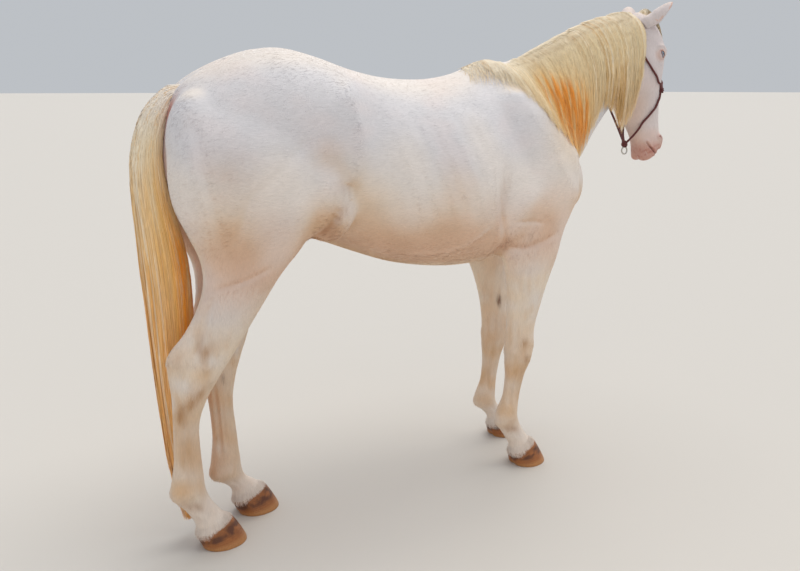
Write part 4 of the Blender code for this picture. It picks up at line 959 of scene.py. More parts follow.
def lidded(points):
    """The points held above the ball outside the opening, and sunk inside it."""
    along, across, out = lid_places(points)
    far = np.sqrt(along ** 2 + across ** 2 + out ** 2)
    share = opening_share(along, across)
    close = (far < LID_REACH * EYE_RADIUS) & (out > 0)
    lid = EYE_RADIUS + LID_THICK + LID_ROLL * np.exp(-((np.sqrt(np.maximum(share, 0)) - 1.12) / 0.20) ** 2)
    drop = np.where(share < 1, EYE_RADIUS - BEHIND_BALL, np.maximum(far, lid))
    wanted = np.where(close, drop, far)
    scale = wanted / np.maximum(far, 1e-9)
    offset = np.column_stack([along * scale, across * scale, out * scale])
    places = EYE + offset[:, 0:1] * LID_ALONG + offset[:, 1:2] * LID_UP + offset[:, 2:3] * EYE_WAY
    side = np.where(points[:, 1] < 0, -1.0, 1.0)
    return np.column_stack([places[:, 0], places[:, 1] * side, places[:, 2]])


move_points(skin_mesh, lidded(points_of(skin_mesh)))
print("eye opening", 2 * OPEN_LONG, "by", OPEN_HIGH + OPEN_LOW)


# %% Trim the feet, thin the mesh
def coronet_plane(kind):
    """A point and the upward normal (x, z) of the slanting plane where a hoof meets the skin."""
    front, back = HOOVES[kind][2:4]
    return np.array(front), unit(np.array([-(front[1] - back[1]), front[0] - back[0]]))


FOOT_TOP, FOOT_OVERLAP, FOOT_SUNK, FOOT_NARROWED = 0.13, 0.002, 0.006, 0.90


def sunk_feet(points):
    """Points below the coronet drawn together and up, so that the skin ends just inside the hoof."""
    square, side = square_places(points)
    moved = points.copy()
    for kind, leg_side, _, outward, _ in LEGS.values():
        front, normal = coronet_plane(kind)
        mine = (side == leg_side) & ((points[:, 0] < 0) == (kind == "hind")) & (points[:, 2] < FOOT_TOP)
        depth = (square[:, 0] - front[0]) * normal[0] + (square[:, 2] - front[1]) * normal[1]
        under = mine & (depth < -FOOT_OVERLAP)
        middle_y = leg_side * (LEG_ROWS[kind][-1][4] + outward)
        push = -FOOT_SUNK - depth
        moved[:, 0] = np.where(under, points[:, 0] + push * normal[0], moved[:, 0])
        moved[:, 2] = np.where(under, points[:, 2] + push * normal[1], moved[:, 2])
        moved[:, 1] = np.where(under, middle_y + (points[:, 1] - middle_y) * FOOT_NARROWED, moved[:, 1])
    return moved


SKIN_TRIANGLES = 185000
move_points(skin_mesh, sunk_feet(points_of(skin_mesh)))
skin = to_object(skin_mesh)
places = points_of(skin_mesh)
detail = skin.vertex_groups.new(name="coarse")
fine = near(places, EYE, 0.040) | near(places, NOSTRIL, 0.032)
coarse = np.where(fine, 0.0, 1 - 0.75 * head_share(places))
for level in np.unique(np.round(coarse, 1)):
    detail.add(np.flatnonzero(np.round(coarse, 1) == level).tolist(), float(level), "REPLACE")
bpy.context.view_layer.update()
skin_mesh.calc_loop_triangles()
thin = skin.modifiers.new("thin", "DECIMATE")
thin.ratio = min(1.0, SKIN_TRIANGLES / len(skin_mesh.loop_triangles))
thin.vertex_group, thin.vertex_group_factor = "coarse", 0.00002
skin.modifiers.new("even", "TRIANGULATE")
skin_mesh = worked(skin)
skin_mesh.polygons.foreach_set("use_smooth", np.ones(len(skin_mesh.polygons), bool))
skin_places, skin_normals = points_of(skin_mesh), normals_of(skin_mesh)
corners = np.zeros(len(skin_mesh.polygons) * 3, np.int32)
skin_mesh.polygons.foreach_get("vertices", corners)
skin_faces = corners.reshape(-1, 3)
skin_tree = BVHTree.FromPolygons([Vector(p) for p in skin_places], skin_faces.tolist())
print("skin:", len(skin_faces), "triangles")

# %% [markdown]
# ## Markings
#
# A cremello's coat is cream so pale that it looks white, over pink skin.  The pink shows where the hair is
# thin: muzzle, eyelids, inside of the ears, under the tail and inside the thighs.  Dust tans the legs and the
# body low down, and soil clings to the hocks and knees.  Painted light and shade go in as well: light
# bounced up from the floor warms the belly, the mane's reflection yellows the neck below it, and hollows,
# creases and the underside of the jaw are painted darker.  One function works out the colour at any place,
# so the skin and every tuft that stands on it agree.

# %% One colour for skin and coat
WHITE, COOL, CREAM = rgb("#ece4de"), rgb("#d9dae2"), rgb("#e9cfab")
PINK, DEEP_PINK, TAN = rgb("#dfb8a8"), rgb("#b97c6e"), rgb("#cfa577")
SOIL_AND_SHADE_BROWN, HORN_SPOT, LIP_SHADE = rgb("#a06a30"), rgb("#7b5844"), rgb("#7d453c")
# Soil and dust on hocks, knees and pasterns, and painted shade in the hollows of hock, pastern and cannon and in
# the folds of flank, elbow, arm and gaskin: x, z, half length, half breadth, turn, strength, seen from the
# outside of each leg.
SOIL_AND_SHADE_MARKS = [
    (-0.670, 0.644, 0.017, 0.032, 10, 0.42), (-0.684, 0.490, 0.050, 0.015, 47, 0.60),
    (-0.722, 0.440, 0.012, 0.034, 0, 0.40), (-0.735, 0.600, 0.024, 0.034, 0, 0.22),
    (0.466, 0.472, 0.018, 0.016, 0, 0.50), (0.480, 0.410, 0.014, 0.018, 0, 0.35),
    (-0.690, 0.150, 0.030, 0.014, -30, 0.45), (0.430, 0.150, 0.030, 0.014, -30, 0.45),
    (-0.570, 0.830, 0.090, 0.014, 12, 0.20), (-0.640, 1.140, 0.040, 0.050, 0, 0.08),
    (0.440, 0.838, 0.080, 0.014, 0, 0.30), (0.355, 0.830, 0.014, 0.060, -14, 0.45),
    (0.312, 1.010, 0.024, 0.090, -10, 0.24), (-0.325, 0.965, 0.016, 0.050, -40, 0.75),
    (-0.300, 0.940, 0.035, 0.030, 0, 0.45), (-0.282, 1.050, 0.036, 0.085, -15, 0.26),
    (-0.590, 1.150, 0.050, 0.060, 0, 0.10), (-0.480, 0.990, 0.080, 0.050, 0, 0.10),
    (-0.660, 0.620, 0.020, 0.050, 0, 0.35), (0.470, 0.330, 0.022, 0.100, 0, 0.22),
    (-0.700, 0.330, 0.022, 0.100, 0, 0.22),
]
# The bare horny spots on the inside of the legs: x, z, half length, half breadth, turn, strength.
CHESTNUTS = [(0.476, 0.560, 0.009, 0.018, 0, 1.3), (-0.690, 0.480, 0.006, 0.012, 0, 0.5)]


def mixed(color, target, weight):
    """Colour moved towards the target by a weight for each point."""
    weight = np.clip(weight, 0, 1)[:, None]
    return color * (1 - weight) + np.array(target) * weight


def body_color(points, normals, patchy, fine):
    """Colour of trunk and legs: cool white above, cream and tan below with painted light bounced up from the
    floor on the belly, a painted reflection of the mane on the neck, a painted shade under the jaw, and soil
    and painted shade on the joints and in the creases.
    """
    square, side = square_places(points)
    x, _, z = square.T
    outside = normals[:, 1] * side > 0
    color = np.tile(np.array(WHITE), (len(points), 1))
    upper = smooth_step(z + 0.06 * patchy, 1.02, 1.30) * smooth_step(0.92 - normals[:, 2], 0, 0.3)
    color = mixed(color, COOL, 0.75 * upper)
    # Painted light: faces that look down take the warm cream and tan of light bounced up from the floor.
    under = smooth_step(-normals[:, 2] + 0.20 * patchy, -0.15, 0.75)
    color = mixed(color, CREAM, 0.85 * under * smooth_step(1.28 - z, 0, 0.20))
    color = mixed(color, TAN, 0.75 * smooth_step(under, 0.4, 1.0) * (z > 0.80) * (x < 0.60))
    color = mixed(color, CREAM, 0.50 * smooth_step(1.08 - z, 0, 0.50) * (0.8 + 0.3 * fine))
    color = mixed(color, TAN, 0.42 * smooth_step(0.62 - z, 0, 0.30) * (0.8 + 0.3 * fine))
    # Painted reflection: a cream glow from the golden mane on the neck below it.
    color = mixed(color, CREAM, 0.55 * mound(x, z, 0.640, 1.240, 0.120, 0.130) * outside)
    color = mixed(color, PINK, 0.12 * smooth_step(patchy + 0.4 * fine, -0.2, 1.4))
    # Painted shade: a tan patch on the underside of the jaw.
    color = mixed(color, TAN, 0.45 * mound(x, z, 1.120, 1.310, 0.070, 0.110))
    color = mixed(color, PINK, 0.25 * head_share(points))
    # Dust: broad clouds low down, upright streaks on the legs, and a tan bloom on thighs and cannons.
    clouds = smooth_step(cloud(points, 0.07, 5) + 0.5 * patchy, 0.0, 1.6)
    color = mixed(color, TAN, smooth_step(1.15 - z, 0, 0.35) * 0.22 * clouds)
    streaks = smooth_step(cloud(points * (1.6, 1.6, 0.5), 0.030, 6), 0.1, 1.3)
    color = mixed(color, TAN, 0.30 * smooth_step(0.85 - z, 0, 0.25) * streaks)
    bloom = 0.25 * mound(x, z, -0.600, 0.980, 0.120, 0.150) + 0.20 * mound(z, x, 0.380, 0.0, 0.140, 3.0)
    color = mixed(color, TAN, bloom)
    color = mixed(color, COOL, 0.40 * mound(x, z, -0.590, 0.740, 0.100, 0.090))
    color = mixed(color, WHITE, 0.60 * smooth_step(0.21 - z, 0, 0.08))
    ragged = np.clip(1 + 0.30 * fine + 0.25 * cloud(points * (1.3, 1.3, 0.6), 0.016, 12), 0, 2)
    # Soil, and painted shade in the hollows and folds, with ragged edges.
    for *place, strong in SOIL_AND_SHADE_MARKS:
        color = mixed(color, SOIL_AND_SHADE_BROWN, strong * mound(x, z, *place) * outside * ragged)
    for *place, strong in CHESTNUTS:
        color = mixed(color, HORN_SPOT, strong * mound(x, z, *place) * ~outside * (z < 0.9))
    return color


def head_color(color, points, normals, fine):
    """The colour with the pink of muzzle, nostrils, lids and ears, and the shade of the mouth."""
    places, z, head = folded(points), points[:, 2], head_share(points)
    muzzle = smooth_step(1.245 - z + 0.012 * fine, 0.0, 0.10) * head
    speck = smooth_step(cloud(points, 0.009, 9) + 0.5 * fine, 0.0, 1.1)
    color = mixed(color, PINK, 0.70 * muzzle)
    color = mixed(color, DEEP_PINK, (0.62 + 0.35 * speck) * muzzle * smooth_step(1.20 - z, 0, 0.07))
    nostril_far = line_distance(places, NOSTRIL_LINE[:3])[0]
    color = mixed(color, DEEP_PINK, 0.95 * np.exp(-(nostril_far / 0.011) ** 2) * head)
    color = mixed(color, LIP_SHADE, 0.85 * np.exp(-(mouth_distance(places) / 0.0040) ** 2) * head)
    eye_far = np.linalg.norm(places - EYE, axis=1)
    color = mixed(color, PINK, 0.6 * np.exp(-((eye_far - 0.018) / 0.011) ** 2) * (eye_far < 0.08))
    at_lids = (opening_share(*lid_places(points)[:2]) < 1.9) * (eye_far < 0.05)
    color = mixed(color, DEEP_PINK, 0.7 * np.exp(-((eye_far - EYE_RADIUS) / 0.0045) ** 2) * at_lids)
    for side, _ in SIDES:
        root, up, open_to, _, length = ear_frame(side)
        high = (points - root) @ up / length
        inside = (normals @ open_to > 0.25) & (high > 0.35) & (points[:, 1] * side > 0.02) & (z > 1.66)
        color = mixed(color, PINK, 0.9 * inside)
    return color


def bare_skin_color(color, points, normals):
    """The colour with the pink skin under and beside the tail's root, and low down where it faces right."""
    x, y, z = points.T
    under_tail = smooth_step(-x, 0.68, 0.73) * np.exp(-(y / 0.06) ** 2) * smooth_step(1.375 - z, 0, 0.05)
    color = mixed(color, DEEP_PINK, 0.75 * under_tail * smooth_step(z, 0.95, 1.10))
    beside_tail = np.exp(-((np.abs(y) - 0.050) / 0.020) ** 2 - ((z - 1.325) / 0.045) ** 2) * (x < -0.66)
    color = mixed(color, DEEP_PINK, beside_tail)
    # Skin shows faintly low on the right flank and inside the left thigh, the surfaces that face right.
    faint = smooth_step(-normals[:, 1], 0.0, 0.5) * smooth_step(1.10 - z, 0, 0.25)
    return mixed(color, PINK, 0.45 * (faint * smooth_step(z, 0.68, 0.85)))


def coat_color(points, normals):
    """Linear RGB of skin and coat at each place."""
    patchy, fine = cloud(points, 0.16, 3), cloud(points, 0.045, 4)
    color = body_color(points, normals, patchy, fine)
    color = head_color(color, points, normals, fine)
    color = bare_skin_color(color, points, normals)
    return np.clip(color * (1 + 0.018 * fine + 0.012 * cloud(points, 0.012, 8))[:, None], 0, 1)


def upright_share(points):
    """1 where hair hangs down, as on legs, head and breast; 0 where it lies along the body."""
    square, _ = square_places(points)
    legs = smooth_step(1.00 - square[:, 2], 0, 0.15) * ((square[:, 0] < -0.25) | (square[:, 0] > 0.33))
    return np.maximum(np.maximum(legs, head_share(points)), smooth_step(points[:, 0], 0.60, 0.72))


set_tint(skin_mesh, coat_color(skin_places, skin_normals))
upright = skin_mesh.attributes.new("upright", "FLOAT", "POINT")
upright.data.foreach_set("value", upright_share(skin_places).astype(np.float32))

# %% Materials of skin and hair
# Short horse hair is keratin (IOR 1.55) over skin: a soft sheen, no clear gloss.  Hairs are 12 mm long and
# 0.1 mm wide, too fine to show, so the bump draws bundles of them about 3 mm wide and 20 mm long.
HAIRS_ACROSS, HAIRS_ALONG = 330.0, 45.0     # bundles of hair for each metre, across and along the hair
COAT_SLANT = -0.35                          # radians by which the hair on the trunk runs down to the rear

coat_paint, tree, shader = new_material("short_horse_coat", Roughness=0.58, IOR=1.50, Sheen_Weight=0.12,
                                        Sheen_Roughness=0.45)
lie = add_node(tree, "Attribute", attribute_name="upright", attribute_type="GEOMETRY")
level_hair = object_noise(tree, (HAIRS_ALONG, HAIRS_ACROSS, HAIRS_ACROSS), 2.0, (0.0, COAT_SLANT, 0.0))
hanging_hair = object_noise(tree, (HAIRS_ACROSS, HAIRS_ACROSS, HAIRS_ALONG), 2.0)
hair_height = add_node(tree, "Mix", {0: lie.outputs["Fac"], 2: level_hair, 3: hanging_hair}).outputs[0]
wavy = object_noise(tree, (22.0, 30.0, 85.0), 1.0)
height = add_node(tree, "Math", {0: hair_height, 1: wavy}, operation="ADD")
bumped(tree, shader, height.outputs[0], 0.45, 0.0011)
shaded_tint(tree, shader, hair_height, 0.93, 1.03)

# Tufts of the same coat, standing on the skin, read the colour worked out for their root.
tuft_paint, tree, shader = new_material("horse_coat_tufts", Roughness=0.60, IOR=1.50)
tree.links.new(tint_socket(tree), shader.inputs["Base Color"])

# Mane and tail hair is coarse keratin, straight, with a silky sheen along the strand.
hair_paint, tree, shader = new_material("long_horse_hair", Roughness=0.42, IOR=1.55, Sheen_Weight=0.15)
shaded_tint(tree, shader, object_noise(tree, (420.0, 420.0, 12.0), 2.0), 0.86, 1.06)
print("materials:", ", ".join(m.name for m in bpy.data.materials))

# %% The skin takes the place of the flesh
FLESH = [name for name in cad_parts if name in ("head", "neck", "chest", "barrel", "hindquarters")
         or name.endswith(("forearm", "cannon", "gaskin", "_ear"))]
skin = finish_piece(skin_mesh, "skin", coat_paint)
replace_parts(skin, *FLESH)
print("skin stands for", len(FLESH), "nodes")

# %% [markdown]
# ## Eyes
#
# The ball is a sphere with a slightly bulging, wet cornea.  A cremello's iris is pale blue, and a horse's
# pupil is a dark oval that lies level.  Colour goes on the fine grid of the ball itself.

# %% Eyeballs and lid rims
IRIS, PUPIL_LONG, PUPIL_HIGH = 0.0138, 0.0066, 0.0034    # radius, and the pupil's half length and height
CORNEA_BULGE, BALL_CLEAR, BALL_AROUND = 0.0010, 0.0006, 72

SCLERA, LIMBUS, IRIS_BLUE = rgb("#d9c4bf"), rgb("#5f7482"), rgb("#7f9db5")
IRIS_STREAK, PUPIL_DARK, LID_EDGE = rgb("#b4c8d6"), rgb("#0e1116"), rgb("#9c6f66")


def eyeball(side):
    """Points (rings, around, 3) of a ball round its outward axis, radius + 1 mm bulge at the cornea, and
    the colour of each: pupil, iris with radial streaks, dark limbus, pale sclera."""
    polar = np.linspace(0.02, math.pi - 0.02, BALL_AROUND)[:, None]
    turn = np.arange(BALL_AROUND)[None, :] * 2 * math.pi / BALL_AROUND
    radius = EYE_RADIUS + CORNEA_BULGE * np.exp(-(polar / 0.55) ** 2) - BALL_CLEAR
    along, across = radius * np.sin(polar) * np.cos(turn), radius * np.sin(polar) * np.sin(turn)
    out = radius * np.cos(polar) * np.ones_like(turn)
    place = EYE + along[..., None] * LID_ALONG + across[..., None] * LID_UP + out[..., None] * EYE_WAY
    place = place * (1, side, 1)
    reach = np.hypot(along, across).ravel()
    streaks = np.sin(turn * 23 + 1.7) * np.sin(turn * 57 + 0.6)
    streaks = (streaks * np.ones_like(polar)).ravel()
    color = np.tile(np.array(SCLERA), (along.size, 1))
    front = np.repeat(polar < 1.4, BALL_AROUND, axis=1).ravel()
    color = mixed(color, LIMBUS, front * smooth_step(IRIS + 0.0012 - reach, 0, 0.0008))
    color = mixed(color, IRIS_BLUE, front * smooth_step(IRIS - reach, 0, 0.0022))
    color = mixed(color, IRIS_STREAK, front * (reach < IRIS) * 0.45 * smooth_step(streaks, 0.1, 0.9))
    oval = np.hypot(along.ravel() / PUPIL_LONG, across.ravel() / PUPIL_HIGH)
    color = mixed(color, PUPIL_DARK, front * smooth_step(1.12 - oval, 0, 0.12))
    return place, color


# A cornea (IOR 1.376) with the tear film over it as a clear coat.
eye_paint, tree, shader = new_material("wet_cornea_over_iris", Roughness=0.06, IOR=1.376, Coat_Weight=0.8,
                                       Coat_Roughness=0.02)
tree.links.new(tint_socket(tree), shader.inputs["Base Color"])
for side, word in SIDES:
    name = word + "_eye"
    rings, color = eyeball(side)
    points = tube_points(rings)
    mesh = new_mesh(name + "ball", points, turned_out(points, tube_faces(len(rings), rings.shape[1])))
    set_tint(mesh, np.vstack([color, color[0], color[-1]]))
    ball = finish_piece(mesh, name + "ball", eye_paint)
    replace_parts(ball, name)
print("iris", 2 * IRIS, "pupil", 2 * PUPIL_LONG, "by", 2 * PUPIL_HIGH)


def swept(route, reference, radii, around=8, closed_loop=False):
    """A tube along a route: ring point = place + radius*(cos a * side + sin a * reference), where side is
    the route's direction crossed with the reference."""
    if closed_loop:
        along = unit(np.roll(route, -1, axis=0) - np.roll(route, 1, axis=0))
    else:
        along = unit(np.gradient(route, axis=0))
    side = unit(np.cross(along, reference))
    up = np.cross(side, along)
    turn = np.arange(around) * 2 * math.pi / around
    radii = np.broadcast_to(np.asarray(radii, float), (len(route),))[:, None, None]
    return route[:, None, :] + radii * (np.cos(turn)[None, :, None] * side[:, None, :]
                                        + np.sin(turn)[None, :, None] * up[:, None, :])


def loop_faces(count, around):
    """Quads of a torus: `count` rings joined end to end."""
    k, i = np.meshgrid(np.arange(count), np.arange(around), indexing="ij")
    n, j = (k + 1) % count, (i + 1) % around
    quad = np.stack([k * around + i, k * around + j, n * around + j, n * around + i], -1).reshape(-1, 4)
    return np.concatenate([quad[:, [0, 1, 2]], quad[:, [0, 2, 3]]])


RIM_STEPS, RIM_AROUND, RIM_RADIUS, RIM_ABOVE = 72, 8, 0.0015, 0.0006


def lid_rim(side):
    """The moist edge of the lids: a thin tube along the almond, which lies on the ball."""
    along, across = almond_edge(np.arange(RIM_STEPS) * 2 * math.pi / RIM_STEPS)
    route = on_ball(along, across, EYE_RADIUS + RIM_ABOVE)
    rings = swept(route, route - EYE, RIM_RADIUS, RIM_AROUND, closed_loop=True) * (1, side, 1)
    points = rings.reshape(-1, 3)
    return points, turned_out(points, loop_faces(RIM_STEPS, RIM_AROUND))


rim_mesh = new_mesh("eyelid_rims", *joined([lid_rim(side) for side, _ in SIDES]))
set_tint(rim_mesh, np.tile(np.array(LID_EDGE), (len(rim_mesh.vertices), 1)))
# The bare edge of a lid is moist skin (IOR 1.40).
rim_paint, tree, shader = new_material("moist_eyelid", Roughness=0.30, IOR=1.40)
tree.links.new(tint_socket(tree), shader.inputs["Base Color"])
finish_piece(rim_mesh, "eyelid_rims", rim_paint)

# %% [markdown]
# ## Hooves
#
# The wall of a hoof is horn that grows down from the coronet in faint level rings.  It slopes forward,
# flares a little towards the floor and is rounded where it wears.  It is a loft of ovals from sole to
# coronet, with the rings as ripples of half a millimetre, and patches of amber and dark brown horn.

# %% Hooves
HOOF_ROWS, HOOF_AROUND = 44, 72
HORN_RINGS, RING_RIPPLE = 11, 0.00035       # growth rings down the wall, and their height
WORN_EDGE, CORONET_NARROWER, SOLE_SHARE, SOLE_UP = 0.0022, 0.0015, 0.86, 0.0015
HORN_BASE, HORN_CORONET = rgb("#a3632f"), rgb("#c39468")
HORN_BAND, HORN_TOE = rgb("#552a14"), rgb("#bd8650")

# Horn is keratin (IOR 1.55) with fibres that run down the wall; 1.4 mm bundles of them are drawn.
horn_paint, tree, shader = new_material("hoof_horn", Roughness=0.42, IOR=1.55)
fibre = object_noise(tree, (700.0, 700.0, 60.0), 3.0)
shaded_tint(tree, shader, fibre, 0.80, 1.12)
bumped(tree, shader, fibre, 0.3, 0.0006)


def hoof_rings(kind, side, forward, outward, middle_y):
    """Ovals from the sole to the coronet.  With height share h: toe and heel slide from floor to coronet,
    width follows h^0.9, the heel is cut in behind, and ripples run level round the wall."""
    toe, heel, front, back, floor_width, top_width = HOOVES[kind]
    rise = (front[1] - back[1]) / (front[0] - back[0])
    share = np.linspace(0, 1, HOOF_ROWS)[:, None]
    turn = np.arange(HOOF_AROUND)[None, :] * 2 * math.pi / HOOF_AROUND
    along, across = np.cos(turn), np.sin(turn)
    rear = along < 0
    along = np.where(rear, -np.abs(along) ** 0.75, along)
    across = across * np.where(rear, 1.02 - 0.10 * along ** 2, 1.0)
    notch = 0.10 * np.exp(-(np.sin(turn) / 0.22) ** 2) * (np.cos(turn) < 0) * (1 - share)
    along = along * (1 - notch)
    worn = WORN_EDGE * np.exp(-share / 0.035)
    crown = -CORONET_NARROWER * smooth_step(share, 0.80, 1.0)
    ripple = RING_RIPPLE * np.sin(share * 2 * math.pi * HORN_RINGS + 0.5 * np.cos(turn))
    ripple = ripple * smooth_step(share, 0.02, 0.1)
    x_toe = toe + (front[0] - toe) * share
    x_heel = heel + (back[0] - heel) * share
    wide = floor_width + (top_width - floor_width) * share ** 0.9
    swell = crown - worn + ripple - 0.0012 * smooth_step(share, 0.97, 1.0)
    half = (x_toe - x_heel) / 2
    x = (x_toe + x_heel) / 2 + (half + swell) * along
    y = side * (middle_y + outward) + (wide + swell) * across
    top = back[1] + rise * (x - back[0])
    return np.stack([x + forward, y, top * share], -1), share * np.ones_like(turn)


hoof_rims = []
for name, (kind, side, forward, outward, _) in LEGS.items():
    rings, share = hoof_rings(kind, side, forward, outward, LEG_ROWS[kind][-1][4])
    middle = rings[0].mean(0)
    sole = middle + (rings[0] - middle) * np.array([SOLE_SHARE, SOLE_SHARE, 1]) + (0, 0, SOLE_UP)
    rings = np.concatenate([sole[None], rings])
    share = np.vstack([share[:1] * 0, share])
    points = tube_points(rings)
    mesh = new_mesh(name + "_horn", points, turned_out(points, tube_faces(len(rings), HOOF_AROUND)))
    seed = sum(map(ord, name))
    spots = cloud(points * (1, 1, 1.6), 0.020, seed) + 0.5 * cloud(points, 0.007, seed + 1)
    level = np.append(share.ravel(), [0.0, 1.0])
    color = np.tile(np.array(HORN_BASE), (len(points), 1))
    color = mixed(color, HORN_CORONET, 0.6 * smooth_step(level, 0.84, 1.0))
    band = np.exp(-((level - 0.62) / 0.22) ** 2)
    color = mixed(color, HORN_BAND, np.clip(band * (0.80 + 0.60 * spots), 0, 0.90))
    color = mixed(color, HORN_TOE, 0.7 * smooth_step(0.30 - level, 0, 0.20))
    set_tint(mesh, color)
    hoof_rims.append(rings)
    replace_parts(finish_piece(mesh, name + "_horn", horn_paint), name + "_hoof")
print("hooves:", len(LEGS), "with", HOOF_ROWS * HOOF_AROUND * 2, "triangles each")

# %% [markdown]
# ## Halter
#
# The halter is one dark red cord about 9 mm thick: a nose band, two cheek cords to a crown behind the
# ears, and chin and throat cords that meet in a knot under the jaw, which holds a small steel ring.  A cord
# is laid from three strands.  Each strand is a tube wound round the cord's route, and each knot is the same
# cord wound in a short coil.

# %% Cord and ring
CORD, CORD_LAY, CORD_STEP, CORD_CLEAR = 0.0045, 0.017, 0.0022, 0.0012    # radius, length of a turn, step, gap
STRANDS, STRAND_OUT, STRAND_RADIUS, STRAND_AROUND = 3, 0.48, 0.58, 7      # shares of the cord's radius
KNOT_STEPS, KNOT_CORD, KNOT_ABOVE = 34, 0.92, 0.0085    # steps for each turn, cord's share, height on skin
NOSE_RIGHT, EAR_RIGHT, HEEL = (1.240, -0.062, 1.384), (1.105, -0.078, 1.600), (1.112, 0.0, 1.160)
NOSE_LEFT, EAR_LEFT = (1.240, 0.062, 1.384), (1.105, 0.078, 1.600)
CORD_GUIDES = {
    "cheek": [NOSE_RIGHT, (1.190, -0.085, 1.440), (1.130, -0.088, 1.510), EAR_RIGHT],
    "chin": [NOSE_RIGHT, (1.222, -0.060, 1.320), (1.165, -0.055, 1.255), (1.136, -0.034, 1.205), HEEL],
    "throat": [EAR_RIGHT, (1.060, -0.088, 1.520), (1.010, -0.088, 1.420), (1.000, -0.066, 1.345),
               (1.048, -0.034, 1.245), HEEL],
}
LEFT_THROAT = [EAR_LEFT, (1.062, 0.088, 1.520), (1.040, 0.088, 1.420), (1.062, 0.056, 1.335),
               (1.092, 0.030, 1.245), HEEL]
NOSE_BAND = [NOSE_RIGHT, (1.268, -0.044, 1.412), (1.292, 0.0, 1.438), (1.268, 0.044, 1.412), NOSE_LEFT]
CROWN = [EAR_RIGHT, (1.112, -0.050, 1.660), (1.110, 0.0, 1.690), (1.112, 0.050, 1.660), EAR_LEFT]
HEEL_KNOT, RING_RADIUS, RING_WIRE, RING_STEPS, WIRE_AROUND = 0.0155, 0.0145, 0.0028, 48, 12


def run_of(route):
    """The length run from the start of the route to each of its points."""
    return np.concatenate([[0], np.cumsum(np.linalg.norm(np.diff(route, axis=0), axis=1))])


def spaced(route, step):
    """The route again, with points `step` apart along its length."""
    run = run_of(route)
    count = max(4, round(run[-1] / step))
    return np.column_stack([np.interp(np.linspace(0, run[-1], count + 1), run, route[:, k]) for k in range(3)])


def on_skin(route, lift):
    """The route kept at least `lift` clear of the skin, lightly smoothed, and the skin's normal along it."""
    route = route.copy()
    for turn in range(3):
        normals = []
        for k, point in enumerate(route):
            spot, normal, _, _ = skin_tree.find_nearest(Vector(point))
            high = (Vector(point) - spot).dot(normal)
            if high < lift or (turn == 0 and high < 1.8 * lift):
                route[k] = (spot + normal * lift)[:]
            normals.append(normal[:])
        if turn < 2:
            for _ in range(10 - 5 * turn):
                route[1:-1] = (route[:-2] + 2 * route[1:-1] + route[2:]) / 4
    return route, np.array(normals)


def laid_cord(route, normals, radius, lay=CORD_LAY):
    """Three strands round the route: centre = place + 0.48 R (cos f * normal + sin f * side), with
    f = 2 pi (run / lay + strand / 3)."""
    run = run_of(route)
    along = unit(np.gradient(route, axis=0))
    side = unit(np.cross(along, normals))
    up = np.cross(side, along)
    shapes = []
    for strand in range(STRANDS):
        f = (2 * math.pi * (run / lay + strand / STRANDS))[:, None]
        centre = route + STRAND_OUT * radius * (np.cos(f) * up + np.sin(f) * side)
        rings = swept(centre, np.cos(f) * up + np.sin(f) * side, STRAND_RADIUS * radius, STRAND_AROUND)
        points = tube_points(rings)
        shapes.append((points, turned_out(points, tube_faces(len(rings), STRAND_AROUND))))
    return joined(shapes)


def knot(middle, axis, normal, radius, length, turns):
    """A coil of cord: middle + axis*length*(t - 1/2) + radius*(cos, sin) of turns*t, drawn in at its ends."""
    axis = unit(np.array(axis, float))
    side = unit(np.cross(axis, normal))
    up = np.cross(side, axis)
    t = np.linspace(0, 1, KNOT_STEPS * turns)[:, None]
    f = 2 * math.pi * turns * t
    reach = radius * (0.55 + 0.45 * np.sin(math.pi * np.clip(t, 0.02, 0.98)) ** 0.35)
    route = np.array(middle) + axis * length * (t - 0.5) + reach * (np.cos(f) * up + np.sin(f) * side)
    return laid_cord(route, np.cos(f) * up + np.sin(f) * side, CORD * KNOT_CORD)


knot_places = {}
for label, guide in (("nose_knot", NOSE_LEFT), ("ear_knot", EAR_LEFT)):
    for side, word in SIDES:
        spot, normal, _, _ = skin_tree.find_nearest(Vector((guide[0], side * guide[1], guide[2])))
        knot_places[f"halter_{word}_{label}"] = (np.array(spot + normal * KNOT_ABOVE), np.array(normal))
knot_places["halter_heel_knot"] = (np.array(HEEL), np.array([0.0, -1.0, 0.0]))

routes = {}
for label, guides in CORD_GUIDES.items():
    for side, word in SIDES:
        routes[f"halter_{word}_{label}_cord"] = np.array(guides) * (1, -side, 1)
routes["halter_left_throat_cord"] = np.array(LEFT_THROAT)
routes["halter_nose_band"] = np.array(NOSE_BAND)
routes["halter_crown"] = np.array(CROWN)



def mottled(tree, shader, lumps, detail, dark, light):
    """The base colour mottled between two colours, with this many lumps in a metre; gives the pattern."""
    where = add_node(tree, "TexCoord").outputs["Object"]
    noise = add_node(tree, "TexNoise", {"Vector": where, "Scale": lumps, "Detail": detail}).outputs["Fac"]
    color = add_node(tree, "Mix", {0: noise, 6: linear(dark), 7: linear(light)}, data_type="RGBA")
    tree.links.new(color.outputs[2], shader.inputs["Base Color"])
    return noise


# Polyester yarn laid into cord: matt, with a little sheen from its loose fibres.
rope_paint, tree, shader = new_material("laid_polyester_cord", Roughness=0.62, IOR=1.50, Sheen_Weight=0.25)
bumped(tree, shader, mottled(tree, shader, 900.0, 2.0, "#3a0d10", "#7a2a26"), 0.5, 0.0005)
# Nickel plate, dulled a little by wear.
steel_paint, tree, shader = new_material("nickel_plated_steel", Roughness=0.28, Metallic=1.0)
mottled(tree, shader, 260.0, 3.0, "#a5a39c", "#d2d0ca")

